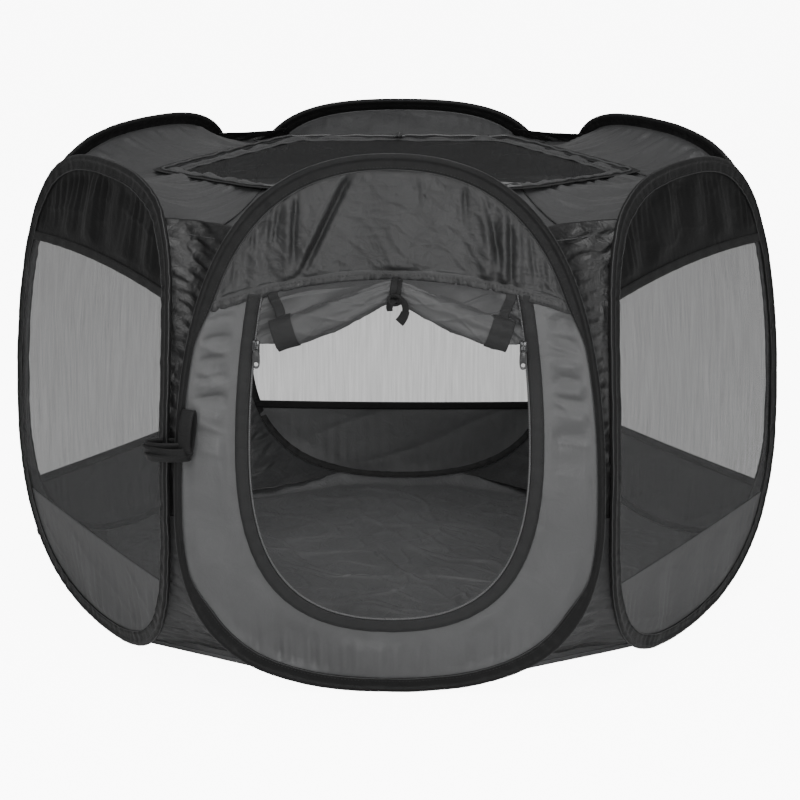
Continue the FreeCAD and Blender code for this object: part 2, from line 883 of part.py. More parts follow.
def make_hatch_slider():
    """The hatch's one slider, parked at the middle of the back edge, and its pull."""
    shrink = size("hatch_tape_width").number * 1.5
    edge = (hatch_corner(1, shrink) + hatch_corner(2, shrink)) * 0.5
    thick = size("hatch_slider_thickness")
    wire = size("bail_wire")
    reach = size("pull_bar_radius") * 2 + size("bail_clearance") * 2
    lift = as_size(edge.z) + size("hatch_slider_gap") + thick / 2
    plate_spans = (size("hatch_slider_length"), size("hatch_slider_width"), thick)
    plate = box_of("hatch_slider_plate", plate_spans, (0, edge.y, lift))
    top = lift + thick / 2
    outer_spans = (wire, reach + wire * 2, reach + wire)
    outer = box_of("hatch_bail_outer", outer_spans, (0, edge.y, top + (reach + wire) / 2))
    inner = box_of("hatch_bail_inner", (wire * 2, reach, reach), (0, edge.y, top + reach / 2))
    bail = hollowed("hatch_bail", outer, inner)
    slider = document.addObject("Part::MultiFuse", "hatch_slider_fuse")
    slider.Shapes = [plate, bail]
    finish(slider, "hatch_slider")
    make_hatch_pull(as_size(edge.y), top + reach / 2)


def make_hatch_pull(depth, height):
    """The hatch's pull, which lies from its slider's bail towards the middle of the hatch."""
    length = size("pull_length")
    width = size("pull_width")
    thick = size("pull_thickness")
    start = head_length()
    bar = make_crossbar("hatch_pull_bar", as_size(0), depth, height)
    tab_centre = (0, depth - (length + start) / 2, height)
    tab = box_of("hatch_pull_tab", (width, length - start, thick), tab_centre)
    arm_spans = (width / 4, start + size("pull_arm_lap"), thick)
    arms = []
    for side in (-1, 1):
        centre = (width * (side * 3 / 8), depth - arm_spans[1] / 2, height)
        arms.append(box_of(f"hatch_pull_arm_{side}", arm_spans, centre))
    hole = document.addObject("Part::Cylinder", "hatch_pull_hole")
    hole.setExpression("Radius", "Dims.pull_hole_radius")
    hole.setExpression("Height", (thick * 3).text)
    set_place(hole, 0, depth - (length - width / 2), height - thick * 1.5, UP, 0)
    solid = document.addObject("Part::MultiFuse", "hatch_pull_solid")
    solid.Shapes = [bar, tab] + arms
    finish(hollowed("hatch_pull_cut", solid, hole), "hatch_pull")


def gusset_edges(index, upper):
    """The two loop lines between which a gusset is sewn at the corner after a wall, and its shift."""
    inset = size("sleeve_width").number / 2
    turn = math.radians(WALLS[index].turn + 30)
    inward = Vector(-math.sin(turn), math.cos(turn), 0) * size("cloth_thickness").number
    edges = []
    for wall, side in ((WALLS[index], 1), (WALLS[(index + 1) % 6], -1)):
        if upper:
            apex = size("upper_gusset_apex").number
            chord = size("chord_half_width").number + size("gusset_chord_gap").number
            first = share_at(wall, True, inset, lambda across, height: height > apex)
            last = share_at(wall, True, inset, lambda across, height: across < chord)
        else:
            apex = size("lower_gusset_apex").number
            chord = size("floor_half_width").number
            first = share_at(wall, False, inset, lambda across, height: height < apex)
            last = share_at(wall, False, inset, lambda across, height: across < chord)
        shares = shares_between(first, last, EDGE_STEPS)
        line = [outline_point(wall, share, upper, inset) for share in shares]
        edges.append([on_wall(wall, across * side, height, ROOF_DEPTH) for across, height in line])
    return edges[0], edges[1], inward


def make_gussets():
    """The cloth that fills the gaps between neighbouring loops, above and below where they meet."""
    for label, upper in (("upper_gussets", True), ("lower_gussets", False)):
        solids = []
        for index in range(6):
            right_edge, left_edge, inward = gusset_edges(index, upper)
            solids.append(strip_solid(right_edge, left_edge, inward, False))
        add_shape(f"{label}_shape", label, solids)


def make_floor():
    """The sewn-in floor: a twelve-sided sheet whose short sides follow the loops' sills."""
    half = size("floor_half_width")
    reach = size("hexagon_side") * (math.sqrt(3) / 2) - size("floor_inset") - bow_at(0)
    body = new_body("floor_body")
    sketch = new_sketch(body, "floor_outline", "XY_Plane")
    corners = []
    for wall in WALLS:
        sine = math.sin(math.radians(wall.turn))
        cosine = math.cos(math.radians(wall.turn))
        for end in (-1, 1):
            across = half * (end * cosine) + reach * sine
            along = half * (end * sine) - reach * cosine
            corners.append([(across, along)])
    draw_chain(sketch, corners)
    pad = body.newObject("PartDesign::Pad", "floor_sheet")
    pad.Profile = sketch
    pad.setExpression("Length", "Dims.floor_thickness")
    finish(body, "floor_panel")


def make_strap():
    """The webbing strap knotted round the two loops at the corner left of the door."""
    strap = document.addObject("Part::Box", "strap_block")
    strap.setExpression("Length", "Dims.strap_width")
    strap.setExpression("Width", "Dims.strap_thickness")
    strap.setExpression("Height", "Dims.strap_height")
    corner = FreeCAD.Rotation(UP, -30)
    side = size("hexagon_side").number
    distance = side + size("strap_distance").number + size("strap_thickness").number
    start = corner.multVec(Vector(-size("strap_width").number / 2, -distance, 0))
    start.z = size("strap_bottom").number
    strap.Placement = FreeCAD.Placement(start, corner)
    finish(strap, "carry_strap")


# The whole pen ------------------------------------------------------------------------------------

for each_wall in WALLS:
    make_spring_loop(each_wall)
    make_ferrule(each_wall)
    make_sleeve(each_wall)
for each_wall in SIDE_WALLS:
    make_side_wall_cloth(each_wall)
make_front_cloth()
make_door_roll()
make_roll_caps()
make_door_tie()
for slider_side, hand in ((-1, "left"), (1, "right")):
    make_pull(f"pull_{hand}", *make_slider(f"slider_{hand}", slider_side))
make_roof()
make_hatch()
make_hatch_slider()
make_gussets()
make_floor()
make_strap()
document.recompute()

for item in document.Objects:
    if "Invalid" in item.State or "Error" in item.State:
        raise RuntimeError(f"{item.Name} failed: {item.State}")
for item in FINISHED:
    if item.Shape.isNull() or not item.Shape.isValid() or not item.Shape.Solids:
        raise RuntimeError(f"{item.Label} has no valid shape")

os.makedirs("parts", exist_ok=True)
for item in FINISHED:
    item.Shape.exportStep(f"parts/{item.Label}.step")
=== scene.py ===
import json
import math
import bpy
import numpy as np
from mathutils import Matrix, Vector


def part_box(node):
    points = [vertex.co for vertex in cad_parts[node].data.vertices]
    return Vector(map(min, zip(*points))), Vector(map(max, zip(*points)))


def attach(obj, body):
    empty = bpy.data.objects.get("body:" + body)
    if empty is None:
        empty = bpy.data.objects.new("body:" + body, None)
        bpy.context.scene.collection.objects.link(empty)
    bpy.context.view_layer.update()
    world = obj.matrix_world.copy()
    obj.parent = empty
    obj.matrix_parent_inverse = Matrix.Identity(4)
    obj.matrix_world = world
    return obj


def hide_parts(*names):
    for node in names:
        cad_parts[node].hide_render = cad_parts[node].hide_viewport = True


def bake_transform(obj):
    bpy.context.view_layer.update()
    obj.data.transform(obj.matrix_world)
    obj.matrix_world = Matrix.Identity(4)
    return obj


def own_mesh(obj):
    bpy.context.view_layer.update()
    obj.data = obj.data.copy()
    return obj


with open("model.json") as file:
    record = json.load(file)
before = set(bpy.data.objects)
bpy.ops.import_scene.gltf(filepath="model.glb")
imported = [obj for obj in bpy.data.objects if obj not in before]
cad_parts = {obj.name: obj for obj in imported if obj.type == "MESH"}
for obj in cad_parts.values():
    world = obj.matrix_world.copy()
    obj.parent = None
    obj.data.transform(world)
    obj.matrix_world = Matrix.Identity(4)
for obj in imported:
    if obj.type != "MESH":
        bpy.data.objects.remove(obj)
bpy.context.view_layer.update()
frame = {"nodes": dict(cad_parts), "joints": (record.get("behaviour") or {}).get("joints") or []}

# Sizes in metres, read from the frame where it holds them ------------------------------------------

JOINTS = {joint["name"]: joint for joint in frame["joints"]}
DOOR_CORNER = JOINTS["fold"]["pos_m"]
APOTHEM = -DOOR_CORNER[1]
WIDEST = DOOR_CORNER[2]
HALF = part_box("sleeve_front")[1].x
TOPS = {"front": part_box("sleeve_front")[1].z, "side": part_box("sleeve_back")[1].z}
MESH_LOW = (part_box("mesh_window_back")[0].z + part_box("lower_panel_back")[1].z) / 2
MESH_HIGH = (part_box("mesh_window_back")[1].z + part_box("upper_panel_back")[0].z) / 2
ROLL_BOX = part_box("door_roll")
DOOR_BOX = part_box("door_zipper_tape")
CLOTH_PLANE = 0.005
CLOTH = 0.0009

# The same curve constants as the CAD's sheet
BOW_RADIUS = 2.125
TOP_ROUNDNESS = {"front": 0.70, "side": 0.86}
BOTTOM_ROUNDNESS = 0.705
DOOR_ROUNDNESS = 0.69
SEAM_HEIGHT = 0.602
SEAM_DROP = 0.060
SEAM_REACH = 0.290
CHORD = 0.200
FLOOR_CHORD = 0.110

WALLS = {"front": 0, "front_right": 60, "back_right": 120, "back": 180, "back_left": 240, "front_left": 300}
WALL_NAMES = list(WALLS)


# Numbers -------------------------------------------------------------------------------------------


def smoothstep(low, high, x):
    t = np.clip((np.asarray(x, float) - low) / (high - low), 0, 1)
    return t * t * (3 - 2 * t)


def waves(x, y, seed, length, angle=0.0, spread=math.pi, count=9):
    """Soft waves of about one length: a sum of sines whose directions spread round an angle."""
    random = np.random.default_rng(seed)
    total = np.zeros(np.broadcast(x, y).shape)
    for _ in range(count):
        direction = angle + random.uniform(-spread, spread)
        size = length * random.uniform(0.65, 1.5)
        phase = random.uniform(0, 2 * math.pi)
        total += np.sin(2 * math.pi * (x * math.cos(direction) + y * math.sin(direction)) / size + phase)
    return total / math.sqrt(count / 2)


def ripples(x, seed, length, spread=0.2):
    """Soft waves along a line."""
    return waves(x, 0 * x, seed, length, 0, spread)


def creases(x, y, seed, length, angle=0.0, spread=math.pi, sharpness=3.0):
    """Narrow ridges: the places where soft waves pass through zero."""
    return np.clip(1 - np.abs(waves(x, y, seed, length, angle, spread, 7)), 0, 1) ** sharpness


def fold_line(x, y, start, end, width, fade=0.25):
    """One long fold between two points, which dies away towards its ends."""
    start, end = np.array(start), np.array(end)
    along = end - start
    length = np.hypot(*along)
    along = along / length
    t = ((x - start[0]) * along[0] + (y - start[1]) * along[1]) / length
    off = (x - start[0]) * -along[1] + (y - start[1]) * along[0]
    body = np.exp(-((off / width) ** 2))
    return body * smoothstep(-fade, fade, t) * (1 - smoothstep(1 - fade, 1 + fade, t))


def running(steps):
    """The running total of some steps, from 0."""
    return np.concatenate([[0], np.cumsum(steps)])


def distance_along(line):
    return running(np.linalg.norm(np.diff(line, axis=0), axis=1))


def bezier(points, count=40):
    """A smooth curve with the given control points."""
    points = np.asarray(points, float)
    degree = len(points) - 1
    t = np.linspace(0, 1, count)[:, None]
    total = np.zeros((count, 3))
    for index, point in enumerate(points):
        total += math.comb(degree, index) * t ** index * (1 - t) ** (degree - index) * point
    return total


def full_turn(count):
    """Angles once round a circle, without the last, which would meet the first."""
    return np.linspace(0, 2 * math.pi, count, endpoint=False)


# Places on a wall ----------------------------------------------------------------------------------


def kind_of(wall):
    return "front" if wall == "front" else "side"


def outward(wall, extra=0):
    """The level direction that a wall faces, turned by some extra degrees."""
    turn = math.radians(WALLS[wall] + extra)
    return np.array([math.sin(turn), -math.cos(turn), 0])


def bow(z):
    """How far a wall leans inwards at a height."""
    return BOW_RADIUS - np.sqrt(BOW_RADIUS ** 2 - (z - WIDEST) ** 2)


def place(wall, u, z, out=0.0):
    """Points at u along a wall and height z, out metres outside the middle of its cloth."""
    u, z, out = np.broadcast_arrays(np.asarray(u, float), np.asarray(z, float), np.asarray(out, float))
    depth = bow(z) - APOTHEM - CLOTH_PLANE - out
    turn = math.radians(WALLS[wall])
    x = u * math.cos(turn) - depth * math.sin(turn)
    y = u * math.sin(turn) + depth * math.cos(turn)
    return np.stack([x, y, z], -1)


def quarter(t, half, rise, roundness):
    """A quarter of a loop: t runs from 0 at its side to 1 at its crown."""
    keep = 1 - t
    across = half * (keep ** 3 + 3 * keep ** 2 * t + 3 * keep * t ** 2 * roundness)
    height = rise * (3 * keep ** 2 * t * roundness + 3 * keep * t ** 2 + t ** 3)
    return across, height


def loop(wall, t, inset=0.0):
    """A point on a wall's loop. t runs 0..4: right side, crown, left side, sill, right side again."""
    kind = kind_of(wall)
    t = np.asarray(t, float) % 4
    index = np.floor(t).astype(int)
    part = t - index
    part = np.where(index % 2 == 0, part, 1 - part)
    half = HALF - inset
    up = quarter(part, half, TOPS[kind] - WIDEST - inset, TOP_ROUNDNESS[kind])
    down = quarter(part, half, inset - WIDEST, BOTTOM_ROUNDNESS)
    upper = index < 2
    across = np.where(upper, up[0], down[0])
    height = np.where(upper, up[1], down[1]) + WIDEST
    sign = np.where((index == 1) | (index == 2), -1, 1)
    return across * sign, height


# One quarter of a loop in fine steps, which stops just short of the next quarter
QUARTER = np.linspace(0, 1, 400) * 0.99999


def crown_height(wall, u, inset):
    across, height = loop(wall, QUARTER, inset)
    return np.interp(np.abs(u), across[::-1], height[::-1])


def sill_height(wall, u, inset):
    across, height = loop(wall, 4 - QUARTER - 1e-6, inset)
    return np.interp(np.abs(u), across[::-1], height[::-1])


def half_width(wall, z, inset):
    lower_u, lower_z = loop(wall, 3 + QUARTER, inset)
    upper_u, upper_z = loop(wall, QUARTER, inset)
    return np.interp(z, np.concatenate([lower_z, upper_z]), np.concatenate([lower_u, upper_u]))


def loop_t_at(wall, height=None, across=None, upper=True, inset=0.0):
    """The t on the right side at which the loop reaches a height, or comes in to a distance across."""
    t = np.linspace(0, 1, 2000)[:-1]
    line_across, line_height = loop(wall, t if upper else 4 - t - 1e-9, inset)
    values, target = (line_across, across) if height is None else (line_height, height)
    order = np.argsort(values)
    found = float(np.interp(target, values[order], t[order]))
    return found if upper else 4 - found


def hem_distance(wall, u, z, upper):
    """How far a point lies inside a wall's outer edge."""
    level = half_width(wall, z, 0) - np.abs(u)
    upright = crown_height(wall, u, 0) - z if upper else z - sill_height(wall, u, 0)
    level, upright = np.maximum(level, 1e-6), np.maximum(upright, 1e-6)
    return level * upright / np.hypot(level, upright)


def past_hem(distance):
    """0 under the sleeve's hem and 1 well clear of it."""
    return smoothstep(0.018, 0.040, distance)


def front_seam(u):
    """The arched seam under the door wall's upper cloth."""
    return SEAM_HEIGHT - SEAM_DROP * (np.asarray(u) / SEAM_REACH) ** 2


def mesh_top(u):
    return MESH_HIGH - 0.004 + 0.014 * (1 - (np.asarray(u) / HALF) ** 2)


def mesh_bottom(u):
    return MESH_LOW - 0.003 * (1 - (np.asarray(u) / HALF) ** 2)


# Meshes --------------------------------------------------------------------------------------------


def add_object(name, data):
    piece = bpy.data.objects.new(name, data)
    bpy.context.scene.collection.objects.link(piece)
    return piece


def thicken(piece, thickness, offset=-1.0):
    solid = piece.modifiers.new("cloth", "SOLIDIFY")
    solid.thickness = thickness
    solid.offset = offset


def grid_object(name, points, uv=None, around=False, along=False, thickness=0.0):
    """Makes a smooth grid mesh. around joins the last column to the first, along the last row."""
    rows, columns = points.shape[:2]
    row_steps = rows if along else rows - 1
    column_steps = columns if around else columns - 1
    i, j = np.meshgrid(np.arange(row_steps), np.arange(column_steps), indexing="ij")
    i, j = i.ravel(), j.ravel()
    ni, nj = (i + 1) % rows, (j + 1) % columns
    faces = np.stack([i * columns + j, i * columns + nj, ni * columns + nj, ni * columns + j], 1)
    mesh = bpy.data.meshes.new(name)
    mesh.vertices.add(rows * columns)
    mesh.vertices.foreach_set("co", points.reshape(-1).astype(np.float32))
    mesh.loops.add(faces.size)
    mesh.loops.foreach_set("vertex_index", faces.reshape(-1).astype(np.int32))
    mesh.polygons.add(len(faces))
    mesh.polygons.foreach_set("loop_start", np.arange(0, faces.size, 4, dtype=np.int32))
    if uv is None:
        v = running(np.linalg.norm(np.diff(points, axis=0), axis=2).mean(1))
        u = running(np.linalg.norm(np.diff(points, axis=1), axis=2).mean(0))
        uv = np.stack(np.meshgrid(u, v), -1)
    layer = mesh.uv_layers.new(name="metres")
    layer.data.foreach_set("uv", uv.reshape(-1, 2)[faces.reshape(-1)].reshape(-1).astype(np.float32))
    mesh.update()
    mesh.validate()
    mesh.shade_smooth()
    piece = add_object(name, mesh)
    if thickness:
        thicken(piece, thickness, 0)
    return piece


def joined(name, pieces):
    """Joins several objects into one."""
    first = pieces[0]
    bpy.context.view_layer.update()
    with bpy.context.temp_override(active_object=first, selected_editable_objects=pieces):
        bpy.ops.object.join()
    first.name = name
    first.data.name = name
    return first


def bake(piece):
    """Turns a piece's modifiers into its mesh."""
    depsgraph = bpy.context.evaluated_depsgraph_get()
    depsgraph.update()
    made = bpy.data.meshes.new_from_object(piece.evaluated_get(depsgraph))
    piece.modifiers.clear()
    piece.data = made


def directions(line, closed):
    """The unit direction of a line at each of its points."""
    ahead = np.roll(line, -1, 0) - np.roll(line, 1, 0) if closed else np.gradient(line, axis=0)
    return ahead / np.linalg.norm(ahead, axis=1)[:, None]


def swept(name, line, points, closed=False):
    """A section's rings along a line, either closed to a loop or drawn to a point at both ends."""
    if not closed:
        first, last = [np.broadcast_to(line[end], (1, points.shape[1], 3)) for end in (0, -1)]
        points = np.concatenate([first, points, last])
    return grid_object(name, points, around=True, along=closed)


def tube(name, line, radius, sides=8, closed=False):
    """A round tube along a line of points. radius may be one number or one per point."""
    line = np.asarray(line, float)
    radius = np.broadcast_to(np.asarray(radius, float), len(line))
    ahead = directions(line, closed)
    if closed:
        helper = np.linalg.svd(line - line.mean(0), full_matrices=False)[2][2]
    else:
        helper = np.array([0.0, 0.0, 1.0] if np.abs(ahead[:, 2]).mean() < 0.7 else [0.0, 1.0, 0.0])
    side = np.cross(ahead, helper)
    side /= np.linalg.norm(side, axis=1)[:, None]
    up = np.cross(side, ahead)
    angles = full_turn(sides)
    ring = np.cos(angles)[None, :, None] * side[:, None] + np.sin(angles)[None, :, None] * up[:, None]
    return swept(name, line, line[:, None] + ring * radius[:, None, None], closed)


def ribbon(name, line, across, width, thickness, closed=False):
    """A flat strap along a line. across gives the direction of its width at each point."""
    line = np.asarray(line, float)
    ahead = directions(line, closed)
    across = np.broadcast_to(np.asarray(across, float), line.shape).copy()
    across -= ahead * (across * ahead).sum(1)[:, None]
    across /= np.linalg.norm(across, axis=1)[:, None]
    up = np.cross(across, ahead)
    w, h = width / 2, thickness / 2
    edge = w - h * 0.6
    face = [(-edge, h), (-w * 0.5, h), (0, h), (w * 0.5, h), (edge, h)]
    profile = np.array([(-w, 0), *face, (w, 0), *((x, -y) for x, y in reversed(face))])
    points = line[:, None] + profile[None, :, :1] * across[:, None] + profile[None, :, 1:] * up[:, None]
    return swept(name, line, points, closed)


def stitches(name, line, normal, length=0.0032, gap=0.0016, radius=0.00035):
    """A row of short raised threads along a line, standing on the side that normal points to."""
    where = distance_along(line)
    normal = np.broadcast_to(np.asarray(normal, float), line.shape)
    vertices, faces = [], []
    for start in np.arange(gap, where[-1] - length, length + gap):
        ends = start, start + length
        a, b = np.array([[np.interp(s, where, line[:, k]) for k in range(3)] for s in ends])
        up = np.array([np.interp(start, where, normal[:, k]) for k in range(3)])
        up /= np.linalg.norm(up)
        side = np.cross(b - a, up)
        side /= max(np.linalg.norm(side), 1e-12)
        middle = (a + b) / 2 + up * radius * 1.3
        first = len(vertices)
        vertices += [a - up * radius, b - up * radius]
        vertices += [middle + side * radius, middle + up * radius]
        vertices += [middle - side * radius, middle - up * radius * 2]
        for k in range(4):
            here, there = first + 2 + k, first + 2 + (k + 1) % 4
            faces += [(first, here, there), (first + 1, there, here)]
    mesh = bpy.data.meshes.new(name)
    mesh.from_pydata([tuple(v) for v in vertices], [], faces)
    mesh.shade_smooth()
    return add_object(name, mesh)


def wall_stitches(name, wall, u, z, out, *sizes):
    """A row of stitches on a wall's outer face."""
    return stitches(name, place(wall, u, z, out), outward(wall), *sizes)


# Materials -----------------------------------------------------------------------------------------


class Nodes:
    """A short way to add and join shader nodes."""

    def __init__(self, name, tree=None):
        if tree:
            self.tree = tree
            return
        self.material = bpy.data.materials.new(name)
        self.material.use_nodes = True
        self.tree = self.material.node_tree
        self.tree.nodes.clear()
        self.output = self.add("OutputMaterial")

    def add(self, kind, inputs=None, **settings):
        """Adds a node. inputs gives its inputs a number, a colour or another node's output."""
        node = self.tree.nodes.new("ShaderNode" + kind)
        for key, value in settings.items():
            setattr(node, key, value)
        for key, value in (inputs or {}).items():
            self.feed(value, node.inputs[key])
        return node

    def feed(self, value, socket):
        if isinstance(value, bpy.types.NodeSocket):
            self.tree.links.new(value, socket)
        else:
            socket.default_value = value

    def math(self, operation, first, second=None):
        inputs = {0: first} if second is None else {0: first, 1: second}
        return self.add("Math", inputs, operation=operation).outputs[0]

    def blend(self, *parts):
        """The sum of some values, each with its share."""
        total = None
        for value, share in parts:
            part = self.math("MULTIPLY", value, share)
            total = part if total is None else self.math("ADD", total, part)
        return total

    def noise(self, vector, scale, detail=3.0, roughness=0.5, distortion=0.0):
        inputs = {"Vector": vector, "Scale": scale, "Detail": detail}
        inputs.update({"Roughness": roughness, "Distortion": distortion})
        return self.add("TexNoise", inputs).outputs[0]

    def bands(self, value, pitch):
        """A wave from 0 to 1 along a coordinate in metres. The last node's third input stays at 0.5."""
        turned = self.math("MULTIPLY", value, 2 * math.pi / pitch)
        return self.math("MULTIPLY_ADD", self.math("SINE", turned), 0.5)

    def threads(self, place_in, warp, weft):
        """The higher of two crossing thread waves with the given pitches."""
        split = self.add("SeparateXYZ", {0: place_in["UV"]})
        return self.math("MAXIMUM", self.bands(split.outputs[0], warp), self.bands(split.outputs[1], weft))

    def ramp(self, value, stops):
        node = self.add("ValToRGB", {0: value})
        while len(node.color_ramp.elements) < len(stops):
            node.color_ramp.elements.new(0.5)
        for element, (position, colour) in zip(node.color_ramp.elements, stops):
            element.position = position
            element.color = (*colour, 1)
        return node.outputs[0]

    def bump(self, height, strength, distance, **under):
        inputs = {"Height": height, "Strength": strength, "Distance": distance, **under}
        return self.add("Bump", inputs).outputs[0]

    def mixed(self, share, first, second):
        return self.add("MixShader", {0: share, 1: first, 2: second}).outputs[0]

    def done(self, shader):
        self.feed(shader, self.output.inputs["Surface"])
        return self.material


def shade(level):
    """A near-grey with a slightly cool tint."""
    return (level, level * 1.012, level * 1.03)


def cloth(
    name, level, rough=0.55, gloss=0.4, weave=0.0011, weave_depth=0.25,
    crease=0.5, crease_scale=38, through=0.0,
):
    """Woven cloth: two crossing thread waves, fine creases, and soft painted shade along them, darker in
    their hollows.
    """
    n = Nodes(name)
    place_in = n.add("TexCoord").outputs
    threads = n.threads(place_in, weave, weave)
    broad = n.noise(place_in["Object"], 5.0, 3, 0.55)
    fine = n.noise(place_in["Object"], crease_scale, 4, 0.6, 0.8)
    tiny = n.noise(place_in["Object"], 420, 2, 0.6)
    # fine is also the creases' bump height, so its share darkens the colour in their hollows: painted shade;
    # broad and tiny are random tone
    mottled = n.blend((broad, 0.55), (fine, 0.3), (tiny, 0.15))
    stops = [(0.3, shade(level * 0.78)), (0.52, shade(level)), (0.75, shade(level * 1.25))]
    colours = n.ramp(mottled, stops)
    thread_shade = n.ramp(threads, [(0.0, (0.7,) * 3), (1.0, (1.06,) * 3)])
    inputs = {"A": colours, "B": thread_shade, "Factor": 0.6}
    colour = n.add("Mix", inputs, data_type="RGBA", blend_type="MULTIPLY").outputs["Result"]
    thread_bump = n.bump(threads, weave_depth, 0.0003)
    inputs = {
        "Base Color": colour,
        "Roughness": n.math("ADD", n.math("MULTIPLY", fine, 0.22), rough - 0.11),
        "Specular IOR Level": gloss,
        "Sheen Weight": 0.02,
        "Normal": n.bump(fine, crease, 0.004, Normal=thread_bump),
    }
    surface = n.add("BsdfPrincipled", inputs)
    glow = n.add("BsdfTranslucent", {"Color": colour})
    return n.done(n.mixed(through, surface.outputs[0], glow.outputs[0]))


def net(name, level, pitch=0.0009, cover=0.43):
    """Knitted mesh: threads with see-through holes near by, and their average with soft streaks far off."""
    n = Nodes(name)
    place_in = n.add("TexCoord").outputs
    threads = n.threads(place_in, pitch, pitch * 1.15)
    stretch = n.add("Mapping", {"Scale": (230, 9, 1), "Vector": place_in["UV"]})
    streaks = n.noise(stretch.outputs[0], 1.0, 2, 0.6)
    edge = n.math("ADD", n.math("MULTIPLY", streaks, 0.30), 1 - cover - 0.15)
    above = n.math("MULTIPLY", n.math("SUBTRACT", threads, edge), 3.0)
    most, least = 0.85, 0.15
    inputs = {"Value": above, "From Min": -0.5, "From Max": 0.5, "To Min": least, "To Max": most}
    near = n.add("MapRange", inputs).outputs[0]
    open_share = (math.acos(1 - 2 * (1 - cover)) / math.pi) ** 2
    average = n.math("ADD", n.math("MULTIPLY", streaks, 0.20), most - (most - least) * open_share - 0.10)
    view = n.add("CameraData").outputs["View Distance"]
    far = n.add("MapRange", {"Value": view, "From Min": 0.7, "From Max": 1.4}).outputs[0]
    solid = n.add("Mix", {0: far, 2: near, 3: average}, data_type="FLOAT").outputs[0]
    uneven = n.noise(place_in["Object"], 160, 2, 0.6)
    inputs = {
        "Base Color": n.ramp(uneven, [(0.3, shade(level * 0.8)), (0.7, shade(level * 1.25))]),
        "Roughness": 0.7,
        "Specular IOR Level": 0.25,
        "Normal": n.bump(threads, 0.4, 0.0004),
    }
    surface = n.add("BsdfPrincipled", inputs)
    return n.done(n.mixed(solid, n.add("BsdfTransparent").outputs[0], surface.outputs[0]))


def metal(name, level, rough=0.35, metallic=1.0):
    """Metal or painted metal with fine brushing and small worn patches."""
    n = Nodes(name)
    place_in = n.add("TexCoord").outputs
    fine = n.noise(place_in["Object"], 500, 4, 0.65)
    broad = n.noise(place_in["Object"], 70, 3, 0.6)
    mottled = n.blend((fine, 0.5), (broad, 0.5))
    inputs = {
        "Base Color": n.ramp(mottled, [(0.35, shade(level * 0.75)), (0.65, shade(level * 1.2))]),
        "Roughness": n.math("ADD", n.math("MULTIPLY", fine, 0.25), rough - 0.12),
        "Metallic": metallic,
        "Normal": n.bump(fine, 0.15, 0.0003),
    }
    return n.done(n.add("BsdfPrincipled", inputs).outputs[0])


SLEEVE = cloth("sleeve cloth", 0.0045, rough=0.52, gloss=0.16, crease=0.35, crease_scale=60)
# Lighter than the sleeve cloth: painted highlight along the sleeve's folded edges
EDGE_HIGHLIGHT = cloth("sleeve edging", 0.026, rough=0.45, gloss=0.30, crease=0.2, crease_scale=90)
FRONT_BAND = cloth("door wall upper cloth", 0.020, rough=0.45, gloss=0.32, crease=0.6, crease_scale=45)
SIDE_BAND = cloth("dark upper cloth", 0.0030, rough=0.55, gloss=0.12, crease=0.4)
SKIRT = cloth("skirt cloth", 0.068, rough=0.50, gloss=0.30, crease=0.35, through=0.25)
DOOR_WALL = cloth("door wall cloth", 0.064, rough=0.45, gloss=0.4, crease=0.35, crease_scale=22, through=0.1)
ROLL = cloth("rolled door cloth", 0.038, rough=0.46, gloss=0.38, crease=0.2, crease_scale=30)
ROOF = cloth("roof cloth", 0.042, rough=0.42, gloss=0.40, crease=0.35, crease_scale=28, through=0.05)
GUSSET = cloth("gusset cloth", 0.006, rough=0.38, gloss=0.40, crease=0.7, crease_scale=40)
LOW_GUSSET = cloth("lower gusset cloth", 0.030, rough=0.45, gloss=0.35, crease=0.5, crease_scale=30)
FLOOR = cloth("floor cloth", 0.075, rough=0.50, gloss=0.30, crease=0.8, crease_scale=26)
BINDING = cloth("binding tape", 0.005, rough=0.60, gloss=0.15, weave=0.0016, weave_depth=0.6, crease=0.15)
ZIP_TAPE = cloth("zip tape", 0.014, rough=0.60, gloss=0.20, weave=0.0014, weave_depth=0.7, crease=0.15)
ZIP_COIL = metal("zip coil", 0.05, rough=0.35, metallic=0.0)
WEBBING = cloth("webbing", 0.006, rough=0.60, gloss=0.20, weave=0.0018, weave_depth=0.9, crease=0.3)
THREAD = cloth("sewing thread", 0.022, rough=0.60, gloss=0.20, weave=0.0006, crease=0.1)
MESH = net("window mesh", 0.04)
HATCH_MESH = net("hatch mesh", 0.018, cover=0.62)
STEEL = metal("spring steel", 0.45)
SLIDER_METAL = metal("zip slider metal", 0.10, rough=0.3, metallic=0.9)
PULL_PAINT = metal("pull tab paint", 0.035, rough=0.35, metallic=0.4)


def dress(piece, material, body=None, node=None):
    """Gives a piece its material, the body it rides on and the CAD node it stands in for."""
    piece.data.materials.clear()
    piece.data.materials.append(material)
    if body:
        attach(piece, body)
    if node:
        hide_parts(node)


def fold_flat(piece):
    """Gives a piece its own copy of its mesh."""
    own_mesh(piece)


# Sleeves -------------------------------------------------------------------------------------------

TUBE_INSET = 0.0050
TUBE_RADIUS = 0.0047
HEM_START = 0.0100
HEM_END = 0.0220
HEM_OUT = 0.0022


def sleeve_profile():
    """The sleeve's section as (inset, out): a round tube with a flat hem on both faces of the cloth."""
    angles = np.radians(np.arange(40, 321, 20))
    round_part = [(TUBE_INSET + TUBE_RADIUS * math.cos(a), TUBE_RADIUS * math.sin(a)) for a in angles]
    inner_hem = [(0.0120, -0.0018), (HEM_END - 0.0006, -0.0016)]
    outer_hem = [(HEM_END + 0.0005, HEM_OUT - 0.0010), (HEM_END, HEM_OUT + 0.0002)]
    outer_hem += [(0.0180, HEM_OUT + 0.0006), (0.0140, HEM_OUT + 0.0004), (0.0110, HEM_OUT + 0.0006)]
    return np.array(round_part + inner_hem + outer_hem)


